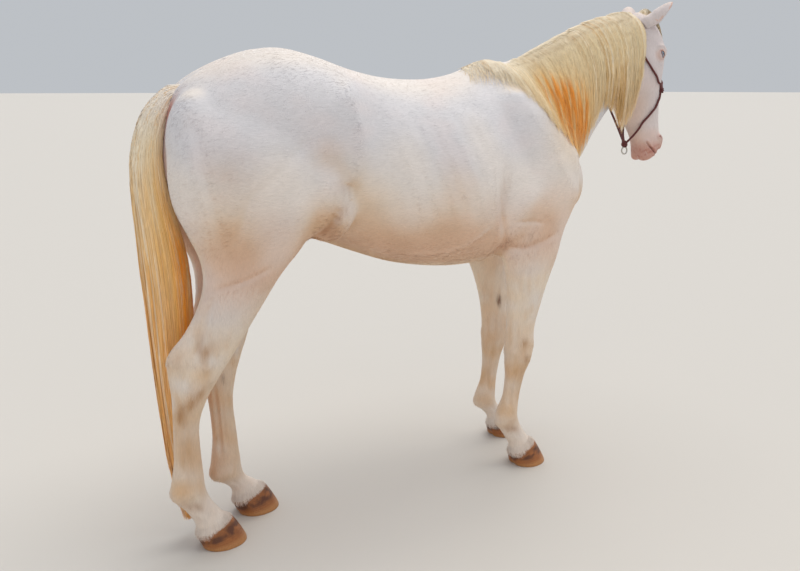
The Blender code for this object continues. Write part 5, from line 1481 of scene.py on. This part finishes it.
cord_length = 0.0
for name, guides in routes.items():
    route = smooth_rows(guides, 24)
    for end in (0, -1):
        route[end] = min(knot_places.values(), key=lambda known: np.linalg.norm(known[0] - route[end]))[0]
    route, normals = on_skin(spaced(route, CORD_STEP), CORD + CORD_CLEAR)
    cord_length += run_of(route)[-1]
    mesh = new_mesh(name + "_laid", *laid_cord(route, normals, CORD))
    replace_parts(finish_piece(mesh, name + "_laid", rope_paint), name)
for name, (middle, normal) in knot_places.items():
    if "heel" in name:
        shape = joined([knot(middle + (0, 0, 0.003), (0, 0, 1), (0, -1, 0), 0.0088, 0.022, 3),
                        knot(middle, (0, 1, 0.2), (0, 0, 1), 0.0085, 0.014, 2)])
    else:
        shape = knot(middle, (0.2, 0, 1), normal, 0.0058, 0.015, 2)
    wound = name + "_wound"
    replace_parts(finish_piece(new_mesh(wound, *shape), wound, rope_paint), name)
turn = np.arange(RING_STEPS) * 2 * math.pi / RING_STEPS
ring_middle = np.array(HEEL) - (0, 0, HEEL_KNOT + RING_RADIUS * 0.62)
ring_route = ring_middle + RING_RADIUS * np.column_stack([np.cos(turn), 0 * turn, np.sin(turn)])
rings = swept(ring_route, np.tile([0.0, 1.0, 0.0], (RING_STEPS, 1)), RING_WIRE, WIRE_AROUND, closed_loop=True)
points = rings.reshape(-1, 3)
mesh = new_mesh("halter_ring_turned", points, turned_out(points, loop_faces(RING_STEPS, WIRE_AROUND)))
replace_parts(finish_piece(mesh, "halter_ring_turned", steel_paint), "halter_ring")
print("cord in the halter:", round(float(cord_length), 2), "m")

# %% [markdown]
# ## Long hair
#
# Mane, forelock and tail are thousands of long hairs that cling together in locks.  Hair curves would be
# the quickest way, but they are not solid and would be lost when the model leaves Blender, so each lock is
# a closed, three-sided sliver of mesh that tapers to its tip.  A lock is carried along a path; many paths
# are worked out together as one array.

# %% Locks and their places on the unrolled skin
PATCH = 0.003              # size of each lock's or tuft's patch on the unrolled skin
UNROLL = 0.34              # share of the map for each metre of skin


def unrolled(points):
    """Places on the skin laid flat as five open cylinders: the trunk and neck by length and angle, the
    head by height and angle, and each leg by height and angle round its own middle."""
    square, side = square_places(points)
    x, y, z = points.T
    spine = np.interp(x, [-0.75, -0.3, 0.2, 0.5, 0.8, 1.1], [1.20, 1.20, 1.12, 1.20, 1.42, 1.54])
    angle = np.arctan2(y, z - spine)
    u = 0.02 + (x + 0.86) * UNROLL
    v = 0.36 + angle / math.pi * 0.33
    on_leg = square[:, 2] < 0.90
    hind_middle, fore_middle = (np.interp(square[:, 2], [0, 0.3, 0.6, 0.9], middles) for middles in
                                ([-0.62, -0.71, -0.68, -0.53], [0.50, 0.44, 0.486, 0.51]))
    leg_middle = np.where(square[:, 0] < 0, hind_middle, fore_middle)
    leg_angle = np.arctan2(square[:, 1] - 0.125, square[:, 0] - leg_middle)
    leg_number = (square[:, 0] < 0) * 2 + (side < 0)
    u = np.where(on_leg, 0.71 + leg_angle / math.pi * 0.045 + 0.05 + (leg_number % 2) * 0.11, u)
    v = np.where(on_leg, 0.02 + square[:, 2] * UNROLL + (leg_number // 2) * 0.34, v)
    on_head = head_share(points) > 0.5
    head_angle = np.arctan2(y, x - 1.17)
    u = np.where(on_head, 0.14 + head_angle / math.pi * 0.12, u)
    v = np.where(on_head, 0.74 + (z - 1.08) * UNROLL, v)
    return np.column_stack([u, v])


def lock_mesh(name, paths, widths, outward, tints, flat=0.22):
    """Closed three-sided locks.  paths (n, k, 3), widths (n, k), outward (n, k, 3), tints (n, k, 3): at each
    station two corners stand half a width to the sides and one stands `flat` widths outward."""
    count, stations, _ = paths.shape
    along = unit(np.gradient(paths, axis=1))
    across = unit(np.cross(along, outward))
    up = np.cross(across, along)
    half = widths[..., None] / 2
    corners = np.stack([paths - across * half, paths + across * half, paths + up * widths[..., None] * flat], 2)
    points = corners.reshape(-1, 3)
    first = (np.arange(count) * stations * 3)[:, None, None] + (np.arange(stations - 1) * 3)[None, :, None]
    i = np.arange(3)[None, None, :]
    j = (i + 1) % 3
    a, b, c, d = first + i, first + j, first + 3 + j, first + 3 + i
    root = np.arange(count) * stations * 3
    tip = root + (stations - 1) * 3
    faces = np.concatenate([np.stack([a, b, c], -1).reshape(-1, 3), np.stack([a, c, d], -1).reshape(-1, 3),
                            np.stack([root, root + 2, root + 1], -1), np.stack([tip, tip + 1, tip + 2], -1)])
    mesh = new_mesh(name, points, turned_out(points, faces), smooth=False)
    set_tint(mesh, np.repeat(tints.reshape(-1, 3), 3, axis=0))
    place = unrolled(paths[:, 0])
    share = np.linspace(0, 1, stations)
    spread = np.array([0.0, 1.0, 0.5])
    uv = np.stack([place[:, None, None, 0] + PATCH * (spread[None, None, :] - 0.5) + 0 * share[None, :, None],
                   place[:, None, None, 1] + PATCH * (share[None, :, None] - 0.5) + 0 * spread], -1)
    lay_map(mesh, uv.reshape(-1, 2))
    return mesh


def lay_map(mesh, uv_of_points):
    """The map OFBake, from a place for each point of the mesh."""
    corner = np.zeros(len(mesh.loops), np.int32)
    mesh.loops.foreach_get("vertex_index", corner)
    layer = mesh.uv_layers.new(name="OFBake")
    layer.uv.foreach_set("vector", uv_of_points[corner].astype(np.float32).ravel())


# %% How deep the neck lies under the mane
FIELD_X, FIELD_Z = np.linspace(0.22, 1.20, 141), np.linspace(1.02, 1.76, 106)
field = np.zeros((len(FIELD_X), len(FIELD_Z)))
for i, x in enumerate(FIELD_X):
    for j, z in enumerate(FIELD_Z):
        hit = skin_tree.ray_cast(Vector((x, -1, z)), Vector((0, 1, 0)))[0]
        field[i, j] = hit.y if hit and hit.y < 0 else 0.0
# The height of the crest under the mane, from rays straight down.
RIDGE = np.array([skin_tree.ray_cast(Vector((x, 0, 2)), Vector((0, 0, -1)))[0].z for x in FIELD_X])


def right_side(x, z):
    """y of the right side of the skin at each x and z, from the field by bilinear mixing."""
    u = np.clip((x - FIELD_X[0]) / (FIELD_X[1] - FIELD_X[0]), 0, len(FIELD_X) - 1.001)
    v = np.clip((z - FIELD_Z[0]) / (FIELD_Z[1] - FIELD_Z[0]), 0, len(FIELD_Z) - 1.001)
    i, j = u.astype(int), v.astype(int)
    s, t = u - i, v - j
    return ((field[i, j] * (1 - s) + field[i + 1, j] * s) * (1 - t)
            + (field[i, j + 1] * (1 - s) + field[i + 1, j + 1] * s) * t)


print("neck surveyed at", field.size, "places")

# %% Colour of the long hair
HAIR_CREAM, HAIR_PALE, HAIR_GOLD = rgb("#f2ddb2"), rgb("#f5ead6"), rgb("#fdc668")
HAIR_ORANGE, HAIR_SHADE_BROWN = rgb("#ff9c12"), rgb("#b98f52")


def strand_tones(color, paths, tone):
    """Light locks paler and dark locks more golden, each lock in one tone."""
    every = np.repeat(tone, paths.shape[1])
    color = mixed(color, HAIR_PALE, 0.60 * smooth_step(every, 0.5, 1.8))
    color = mixed(color, HAIR_GOLD, 0.45 * smooth_step(-every, 0.3, 1.8))
    return np.clip(color.reshape(paths.shape) * (1 + 0.05 * tone)[:, None, None], 0, 1)


def mane_color(paths, tone):
    """Cream, paler at the crest, stained gold in a patch at the middle of the neck, and gold with a painted
    shade beside the cheek.
    """
    x, z = paths[..., 0].ravel(), paths[..., 2].ravel()
    flat = paths.reshape(-1, 3)
    color = np.tile(np.array(HAIR_CREAM), (x.size, 1))
    crest = np.interp(x, [row[0] for row in MANE], [row[1] for row in MANE])
    color = mixed(color, HAIR_PALE, 0.5 * smooth_step(z - crest, -0.10, 0.0))
    streaky = cloud(flat * (1.0, 0.3, 0.18), 0.010, 21)
    stain = (1.5 * mound(x, z, 0.710, 1.310, 0.080, 0.105, -25)
             + 0.9 * mound(x, z, 0.620, 1.390, 0.065, 0.060, -30)
             + 1.2 * mound(x, z, 0.750, 1.210, 0.070, 0.060))
    color = mixed(color, HAIR_GOLD, 1.1 * stain * (0.75 + 0.35 * streaky))
    color = mixed(color, HAIR_ORANGE, 0.95 * smooth_step(stain * (0.8 + 0.4 * streaky), 0.45, 1.00))
    # Beside the cheek: gold hair, and a painted shade where the hair falls into the gap between cheek and neck.
    color = mixed(color, HAIR_GOLD, 0.80 * mound(x, z, 0.995, 1.350, 0.045, 0.110) * (0.7 + 0.5 * streaky))
    color = mixed(color, HAIR_SHADE_BROWN, 0.90 * mound(x, z, 0.995, 1.340, 0.045, 0.090) * (0.7 + 0.5 * streaky))
    color = mixed(color, HAIR_GOLD, 0.22 * smooth_step(crest - z, 0.10, 0.40))
    color = mixed(color, HAIR_PALE, 0.6 * smooth_step(0.56 - x, 0, 0.15))
    return strand_tones(color, paths, tone * (1 - 0.6 * np.clip(stain.reshape(paths.shape[:2]).max(1), 0, 1)))


def tail_color(paths, tone, back):
    """Pale on the outer, rear side and gold on the inner side and towards the end."""
    z = paths[..., 2]
    flat = paths.reshape(-1, 3)
    streaky = cloud(flat * (0.8, 0.8, 0.10), 0.012, 31)
    inner = (1 - back)[:, None] * np.ones_like(z)
    color = np.tile(np.array(HAIR_CREAM), (z.size, 1))
    color = mixed(color, HAIR_PALE, (0.8 * back[:, None] * smooth_step(z, 0.5, 1.2)).ravel())
    gold = (smooth_step(1.32 - z, 0, 0.40) * (0.90 + 0.30 * smooth_step(inner, 0.20, 0.75))).ravel()
    color = mixed(color, HAIR_GOLD, gold * (0.75 + 0.30 * streaky))
    orange = (smooth_step(1.15 - z, 0, 0.35) * smooth_step(inner, 0.35, 0.9)).ravel()
    color = mixed(color, HAIR_ORANGE, 0.85 * orange * (0.7 + 0.5 * streaky))
    color = mixed(color, HAIR_ORANGE, 0.40 * smooth_step(1.05 - z, 0, 0.5).ravel())
    color = mixed(color, WHITE, 0.75 * smooth_step(z, 1.22, 1.38).ravel())
    return strand_tones(color, paths, tone)


# %% The mane
HAIR_SHARE = 1.0
MANE_STATIONS, MANE_CLUMPS, WAVE_LENGTH, LIFT_OVER_SKIN = 9, 64, 0.115, 0.0015
# The crest's slope at every centimetre of its length, from the first two columns of the mane's rows.
SLOPE_FROM, SLOPE_STEP = 0.3, 0.01
slope_x = np.linspace(SLOPE_FROM, 1.13, 84)
CREST_SLOPE = np.gradient(np.interp(slope_x, [row[0] for row in MANE], [row[1] for row in MANE]), SLOPE_STEP)


def table_column(rows, k, where):
    """Column k of a table, read between its rows: `where` counts rows from the first."""
    return np.interp(where, np.arange(len(rows)), rows[:, k])


def mane_paths(count, seed, low, high):
    """Locks rooted along the crest that fall on the right side.  Each goes over the crest, then down the
    neck at a share `low` to `high` of the mane's thickness, never closer in than the hair above it, with a
    slow wave; locks of one clump draw together towards their tips."""
    rng = np.random.default_rng(seed)
    even = (np.arange(count) + rng.random(count)) / count
    share = np.interp(even, [0, 0.02, 0.06, 0.12, 1], [0, 0.08, 0.16, 0.22, 1])    # few at the withers
    clump = np.clip((share * MANE_CLUMPS + rng.normal(0, 0.35, count)).astype(int), 0, MANE_CLUMPS - 1)
    table = smooth_rows(MANE, 8)
    place = share * (len(table) - 1)
    clump_place = (clump + 0.5) / MANE_CLUMPS * (len(table) - 1)
    crest_x, thick = table_column(table, 0, place), table_column(table, 4, place)
    crest_z = np.minimum(table_column(table, 1, place), np.interp(crest_x, FIELD_X, RIDGE) + 0.002)
    end_x = 0.45 * table_column(table, 2, place) + 0.55 * table_column(table, 2, clump_place)
    end_z = table_column(table, 3, place)
    clump_long = rng.normal(1.0, 0.045, MANE_CLUMPS)[clump]
    fall = clump_long * (1.0 - 0.42 * rng.random(count) ** 3) + rng.normal(0, 0.012, count)
    wispy = 1 - smooth_step(crest_x, 0.36, 0.56)
    fall = np.minimum(fall, 1.04) * (1 - 0.75 * wispy * rng.random(count))
    end_x = end_x + wispy * rng.normal(0.0, 0.020, count)
    s = np.linspace(0, 1, MANE_STATIONS)[None, :] ** 1.6
    drop = (crest_z - end_z)[:, None] * fall[:, None]
    phase = rng.uniform(0, 2 * math.pi, MANE_CLUMPS)[clump][:, None] + rng.normal(0, 0.25, count)[:, None]
    sweep = 0.045 * smooth_step(crest_x, 0.36, 0.55)[:, None]      # roots lie behind the place they fall to
    wave = np.sin(drop * s * 2 * math.pi / WAVE_LENGTH + phase)
    x = (crest_x[:, None] - sweep * (1 - s) ** 2.6 + (end_x - crest_x)[:, None] * s
         + 0.0032 * wave * smooth_step(s, 0.15, 0.8) + rng.normal(0, 0.004, count)[:, None] * s)
    z = crest_z[:, None] - drop * s + 0.005 * np.sin(math.pi * np.clip(s / 0.12, 0, 1))
    slope = CREST_SLOPE[np.clip(((crest_x - SLOPE_FROM) * 100).astype(int), 0, len(CREST_SLOPE) - 1)]
    z = z - sweep * (1 - s) ** 2.6 * slope[:, None]
    thick = thick * (0.35 + 0.65 * smooth_step(crest_x, 0.30, 0.48))
    swell = thick[:, None] * (0.30 + 0.70 * np.sin(math.pi * (0.20 + np.clip(s, 0, 1) * 0.74)) ** 0.7)
    over_crown = smooth_step(crest_x, 1.04, 1.10)[:, None]          # locks between the ears go over the poll
    swell = swell + 0.012 * over_crown
    x = x + 0.020 * over_crown * (1 - s)
    z = z + 0.010 * over_crown * (1 - s) ** 2
    layer = rng.uniform(low, high, count)[:, None]
    depth = right_side(x, z)
    y = depth.copy()
    for k in range(1, MANE_STATIONS):
        y[:, k] = np.minimum(depth[:, k], y[:, k - 1] + 0.006)
    y = y - swell * layer - LIFT_OVER_SKIN
    root = rng.uniform(-0.010, 0.014, count)[:, None]
    over = smooth_step(s, 0.0, 0.05)
    y = root * (1 - over) + np.minimum(y, -0.006 * over) * over
    paths = np.stack([x, y, z], -1)
    turned = smooth_step(s, 0.02, 0.14) * np.ones_like(x)           # outward turns from up to the right
    lift = np.stack([np.zeros_like(x), -turned, 1.2 - turned], -1)
    wide = rng.uniform(0.0015, 0.0030, count)[:, None] * (1 - 0.84 * s ** 1.3)
    tone = rng.normal(0, 1, count) * 0.6 + rng.normal(0, 0.8, MANE_CLUMPS)[clump]
    return paths, wide, unit(lift), tone


# Each layer: name, locks, seed of its random draws, and the shares of the mane's thickness it fills.
MANE_LAYERS = [("mane_under", 3500, 101, 0.05, 0.62), ("mane_over", 3900, 102, 0.62, 0.95)]
mane_pieces = []
for name, count, seed, low, high in MANE_LAYERS:
    paths, wide, lift, tone = mane_paths(int(count * HAIR_SHARE), seed, low, high)
    mesh = lock_mesh(name, paths, wide, lift, mane_color(paths, tone))
    mane_pieces.append(finish_piece(mesh, name, hair_paint))
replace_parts(mane_pieces[0], "mane")
print("mane:", [len(p.data.polygons) for p in mane_pieces], "triangles")


# %% The forelock
FORELOCK_LOCKS, FORELOCK_STATIONS = 1700, 10


def forelock_paths(count, seed):
    """Locks from between the ears that fall down the forehead inside the forelock's rows: the place across
    a row is kept from root to tip while the row itself moves down."""
    rng = np.random.default_rng(seed)
    rows = smooth_rows(FORELOCK, 6)
    rows[:, [1, 3]] -= 0.016 * smooth_step(1.22 - rows[:, [0]], 0, 0.06)
    turn, reach = rng.uniform(0, 2 * math.pi, count), rng.random(count) ** 0.25
    front, across = np.cos(turn) * reach, np.sin(turn) * reach
    end = 1 - 0.60 * rng.random(count) ** 1.4
    s = np.linspace(0, 1, FORELOCK_STATIONS)[None, :] * end[:, None] * (len(rows) - 1)
    front_x, front_z, back_x, back_z, _, half = (table_column(rows, k, s) for k in range(6))
    share = 0.5 - 0.5 * front[:, None]
    x = front_x + (back_x - front_x) * share
    z = front_z + (back_z - front_z) * share - 0.035 * (1 - smooth_step(s / len(rows), 0, 0.20))
    y = half * 1.05 * across[:, None] + 0.0025 * np.sin(s * 0.35 + turn[:, None])
    paths = np.stack([x, y, z], -1)
    middle = np.stack([back_x - 0.03, 0 * s, back_z], -1)
    taper = 1 - 0.86 * np.linspace(0, 1, FORELOCK_STATIONS)[None, :] ** 1.5
    wide = rng.uniform(0.0018, 0.0034, count)[:, None] * taper
    return paths, wide, unit(paths - middle), rng.normal(0, 1, count)


paths, wide, lift, tone = forelock_paths(int(FORELOCK_LOCKS * HAIR_SHARE), 201)
# Half pale cream: painted light that lifts the forelock out of the shade it hangs in.
mesh = lock_mesh("forelock_locks", paths, wide, lift, (mane_color(paths, tone) + HAIR_PALE) / 2)
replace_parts(finish_piece(mesh, "forelock_locks", hair_paint), "forelock")
print("forelock:", len(paths), "locks")

# %% Whiskers and lashes
BRISTLE_STATIONS, WHISKERS, LASHES, LASH_ROOT = 5, 64, 44, 0.0018
bristle_share = np.linspace(0, 1, BRISTLE_STATIONS)


def bristles(root, way, long, wide, droop):
    """Locks that leave the root along `way` and droop: place = root + long * (t * way - droop * t^2 * up)."""
    t = bristle_share[None, :, None]
    fall = np.array([0, 0, 1.0]) * (droop * long)[:, None, None]
    paths = root[:, None] + way[:, None] * long[:, None, None] * t - fall * t ** 2
    widths = wide * (1 - 0.8 * bristle_share)[None, :] * np.ones((len(root), 1))
    return paths, widths, np.tile(way[:, None], (1, BRISTLE_STATIONS, 1))


rng = np.random.default_rng(251)
low_on_head = (skin_places[:, 2] < 1.185) & (head_share(skin_places) > 0.9)
root = rng.choice(np.flatnonzero(low_on_head & (skin_normals[:, 2] < 0.35)), WHISKERS, replace=False)
way = unit(skin_normals[root] + (0.1, 0, -0.45))
whisker = bristles(skin_places[root], way, rng.uniform(0.008, 0.022, WHISKERS), 0.0006, 0.15)
lash_parts = []
for side, _ in SIDES:
    along, across = almond_edge(np.radians(np.linspace(18, 162, LASHES)))
    spot = on_ball(along, across, EYE_RADIUS + LASH_ROOT)
    way = unit(0.25 * along[:, None] / OPEN_LONG * LID_ALONG + 0.35 * LID_UP + EYE_WAY)
    long = rng.uniform(0.007, 0.012, LASHES)
    lash_parts.append(bristles(spot * (1, side, 1), way * (1, side, 1), long, 0.0007, 0.25))
paths, wide, outward = (np.concatenate([whisker[k], lash_parts[0][k], lash_parts[1][k]]) for k in range(3))
outward = unit(outward + np.array([0.05, 0.03, 0.9]))
mesh = lock_mesh("whiskers_and_lashes", paths, wide, outward, np.tile(HAIR_PALE, (*wide.shape, 1)))
finish_piece(mesh, "whiskers_and_lashes", hair_paint)
print("whiskers and lashes:", len(paths))

# %% Hair over the coronets
# White hair hangs from the coronet over the top of each hoof, longer at the heels: each lock is a bend
# of three points, start (1-t)^2 + 2 bend t (1-t) + end t^2, from the skin above to the wall below.
CORONET_LOCKS = 1850
coronet_parts = []
for rings in hoof_rims:
    count = CORONET_LOCKS
    place = rng.random(count) * HOOF_AROUND
    column, between = place.astype(int), (place % 1)[:, None]
    beside = (column + 1) % HOOF_AROUND
    heel = smooth_step(-np.cos(column * 2 * math.pi / HOOF_AROUND), 0.0, 0.7)
    down = (2 + 3 * rng.random(count) + 14 * heel * rng.random(count)).astype(int)
    level = len(rings) - 1 - down
    top = rings[-1][column] * (1 - between) + rings[-1][beside] * between
    low = rings[level, column] * (1 - between) + rings[level, beside] * between
    out = unit((top - rings[-1].mean(0)) * (1, 1, 0))
    above = top - out * 0.004 + np.array([0, 0, 1]) * (0.004 + 0.020 * rng.random(count))[:, None]
    start = np.array([skin_tree.find_nearest(Vector(point))[0][:] for point in above])
    t = bristle_share[None, :, None]
    bend = (top + out * 0.0022)[:, None]
    paths = start[:, None] * (1 - t) ** 2 + bend * 2 * t * (1 - t) + (low + out * 0.0010)[:, None] * t ** 2
    paths = paths + rng.normal(0, 0.0016, (count, 1, 3)) * t * (1, 1, 0.5)
    paler = mixed(coat_color(start, out), WHITE, 0.3 * np.ones(count))
    tints = np.clip(paler * (1.04 + 0.05 * rng.normal(size=count))[:, None], 0, 1)
    along_lock = [np.repeat(each[:, None], BRISTLE_STATIONS, axis=1) for each in (out, tints)]
    coronet_parts.append((paths, *along_lock))
paths, outward, tints = (np.concatenate([part[k] for part in coronet_parts]) for k in range(3))
wide = rng.uniform(0.0007, 0.0013, len(paths))[:, None] * (1 - 0.8 * bristle_share ** 1.6)
mesh = lock_mesh("coronet_hair", paths, wide, outward, tints)
finish_piece(mesh, "coronet_hair", tuft_paint)
print("coronet hair:", len(paths), "locks")

# %% The tail
TAIL_STATIONS, TAIL_CLUMPS = 9, 70
TAIL_STEPS = 6                # rows worked out between each two of the table
TAIL_TOP = (-0.640, 1.385, -0.648, 1.436, 0, 0.016, 0.50, 2.0, 2.0)    # its first short hair, on the croup


def tail_paths(count, seed, low, high):
    """Locks of the tail.  Each keeps its place across the tail's section, from the dock, where it springs
    from the middle, to a tip at its own height; a slow wave and a shared clump move it a little."""
    rng = np.random.default_rng(seed)
    rows = smooth_rows([TAIL_TOP] + TAIL, TAIL_STEPS)
    turn = rng.uniform(0, 2 * math.pi, count)
    reach = np.sqrt(rng.uniform(low, high, count))
    back, across = -np.cos(turn) * reach, np.sin(turn) * reach
    share = 0.5 + 0.5 * back
    start = np.clip(0.3 + 4.0 * rng.random(count) ** 1.2 * (1.25 - share), 0.3, 4.6)
    end = 13.0 - 5.8 * rng.random(count) ** 1.25
    t = np.linspace(0, 1, TAIL_STATIONS)[None, :] ** 0.92
    place = (start[:, None] + (end - start)[:, None] * t) * TAIL_STEPS
    front_x, front_z, back_x, back_z, middle_y, half = (table_column(rows, k, place) for k in range(6))
    spring = smooth_step((place / TAIL_STEPS - start[:, None]), -0.35, 1.3)
    a = 0.5 + (share[:, None] - 0.5) * spring
    clump = ((turn / (2 * math.pi) * TAIL_CLUMPS) + rng.normal(0, 0.3, count)).astype(int) % TAIL_CLUMPS
    phase = rng.uniform(0, 2 * math.pi, TAIL_CLUMPS)[clump][:, None] + rng.normal(0, 0.2, count)[:, None]
    drift = rng.normal(0, 1, TAIL_CLUMPS)[clump][:, None]
    sway = 0.0035 * np.sin(place / TAIL_STEPS * 1.5 + phase) * smooth_step(t, 0.2, 0.9)
    x = front_x + (back_x - front_x) * a + sway + 0.002 * drift * t ** 2
    z = front_z + (back_z - front_z) * a
    y = middle_y + half * across[:, None] * spring + 0.8 * sway
    paths = np.stack([x, y, z], -1)
    middle = np.stack([(front_x + back_x) / 2, middle_y, z], -1)
    outward = unit(paths - middle + np.array([1e-5, 0, 0]))
    wide = rng.uniform(0.0022, 0.0042, count)[:, None] * (1 - 0.82 * t ** 2)
    tone = rng.normal(0, 1, count) * 0.6 + rng.normal(0, 0.8, TAIL_CLUMPS)[clump]
    return paths, wide, outward, tone, share


# Each layer: name, locks, seed of its random draws, and the shares of the section's area it fills.
TAIL_LAYERS = [("tail_core", 3300, 301, 0.10, 0.72), ("tail_outer", 3900, 302, 0.80, 1.0)]
tail_pieces = []
for name, count, seed, low, high in TAIL_LAYERS:
    paths, wide, outward, tone, back = tail_paths(int(count * HAIR_SHARE), seed, low, high)
    mesh = lock_mesh(name, paths, wide, outward, tail_color(paths, tone, back))
    tail_pieces.append(finish_piece(mesh, name, hair_paint))
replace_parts(tail_pieces[0], "tail_dock", "tail_switch", "tail_tip")
print("tail:", [len(p.data.polygons) for p in tail_pieces], "triangles")

# %% [markdown]
# ## The short coat
#
# A summer coat is short and lies flat, so most of it is the bump of the skin.  Tufts are still needed
# where hair breaks the outline and catches the light.  Each tuft is the smallest closed solid, a long thin
# tetrahedron: two corners at the root, a low ridge and a tip that lies along the body.

# %% Scatter tufts over the skin
def lie_of_coat(points, normals):
    """The way the hair lies: back and a little down on the body, down on legs, breast and face."""
    down = upright_share(points)[:, None]
    way = np.array([-1.0, 0.0, -0.35]) * (1 - down) + np.array([-0.10, 0.0, -1.0]) * down
    way = way - normals * np.einsum("ij,ij->i", way, normals)[:, None]
    return unit(way)


def roots_on_skin(count, density, seed):
    """Random places on the skin, as likely as area times density, with their normals."""
    rng = np.random.default_rng(seed)
    a, b, c = (skin_places[skin_faces[:, k]] for k in range(3))
    area = np.linalg.norm(np.cross(b - a, c - a), axis=1) / 2
    weight = area * density((a + b + c) / 3, unit(np.cross(b - a, c - a)))
    pick = rng.choice(len(skin_faces), count, p=weight / weight.sum())
    u, v = np.sqrt(rng.random(count))[:, None], rng.random(count)[:, None]
    place = a[pick] * (1 - u) + b[pick] * u * (1 - v) + c[pick] * u * v
    corner = skin_normals[skin_faces[pick]]
    return place, unit(corner[:, 0] * (1 - u) + corner[:, 1] * u * (1 - v) + corner[:, 2] * u * v), rng


def tuft_mesh(name, place, normal, way, long, wide, high, tip_lift):
    """Closed four-cornered tufts: root corners half a width to each side, a ridge a third of the way along
    and `high` above the skin, and the tip at full length."""
    side = np.cross(normal, way)
    sunk = place - normal * 0.0006
    points = np.stack([sunk - side * wide[:, None] / 2, sunk + side * wide[:, None] / 2,
                       place + way * (long * 0.33)[:, None] + normal * high[:, None],
                       place + way * long[:, None] + normal * tip_lift[:, None]], 1).reshape(-1, 3)
    first = (np.arange(len(place)) * 4)[:, None]
    sides = ((0, 1, 2), (0, 2, 3), (1, 3, 2), (0, 3, 1))
    faces = np.concatenate([first + np.array([corners]) for corners in sides])
    mesh = new_mesh(name, points, turned_out(points, faces), smooth=False)
    tone = 1 + 0.035 * np.random.default_rng(len(place)).normal(size=len(place))
    set_tint(mesh, np.repeat(np.clip(coat_color(place, normal) * tone[:, None], 0, 1), 4, axis=0))
    patch = PATCH * (np.array([(0, 0), (1, 0), (0.5, 0.4), (0.5, 1)]) - 0.5)
    lay_map(mesh, (unrolled(place)[:, None, :] + patch[None]).reshape(-1, 2))
    return mesh


def coat_density(points, normals):
    """More tufts where the skin faces down; none on the feet, bare skin or under the mane."""
    x, y, z = points.T
    at_eye = np.linalg.norm(folded(points) - EYE, axis=1) < 0.024
    bare = at_eye | (head_share(points) * (z < 1.16) > 0.5) | (z < 0.05)
    hidden = (x > 0.42) & (y < 0) & (z > 1.30) & (x < 1.05)        # under the mane
    return np.where(bare | hidden, 0.0, 1 + 0.7 * smooth_step(-normals[:, 2], 0.0, 0.8))


def long_places(points, normals):
    """1 where the coat is longest: behind the fetlocks, at the elbow, under the jaw and along the belly."""
    x, _, z = square_places(points)[0].T
    fetlock_and_elbow = smooth_step(0.24 - z, 0, 0.06) + mound(x, z, 0.43, 0.86, 0.08, 0.08)
    belly_and_jaw = smooth_step(-normals[:, 2], 0.5, 0.9) * ((z > 0.7) | (head_share(points) > 0.5))
    return np.clip(fetlock_and_elbow * (normals[:, 0] < -0.1) + 0.6 * belly_and_jaw, 0, 1)


COAT_PIECES, TUFTS_EACH, FIRST_SEED = (2), 45000, 401
for number in range(COAT_PIECES):
    place, normal, rng = roots_on_skin(int(TUFTS_EACH * HAIR_SHARE), coat_density, FIRST_SEED + number)
    small = np.maximum(head_share(place), smooth_step(0.45 - square_places(place)[0][:, 2], 0, 0.2))
    count = len(place)
    long = (0.017 - 0.009 * small) * rng.uniform(0.7, 1.25, count)
    wide = (0.0032 - 0.0014 * small) * rng.uniform(0.7, 1.2, count)
    way = unit(lie_of_coat(place, normal) + 0.16 * rng.normal(size=(count, 3)))
    way = unit(way - normal * np.einsum("ij,ij->i", way, normal)[:, None])
    high = (0.00042 - 0.0001 * small) * rng.uniform(0.6, 1.3, count)
    shaggy = long_places(place, normal)
    long = long * (1 + 1.3 * shaggy * rng.random(count))
    lift = 0.0004 * rng.uniform(-0.8, 1.0, count) + 0.0030 * shaggy * rng.random(count)
    mesh = tuft_mesh(f"coat_tufts_{number + 1}", place, normal, way, long, wide, high, lift)
    finish_piece(mesh, mesh.name, tuft_paint)
print("coat tufts:", COAT_PIECES * count)
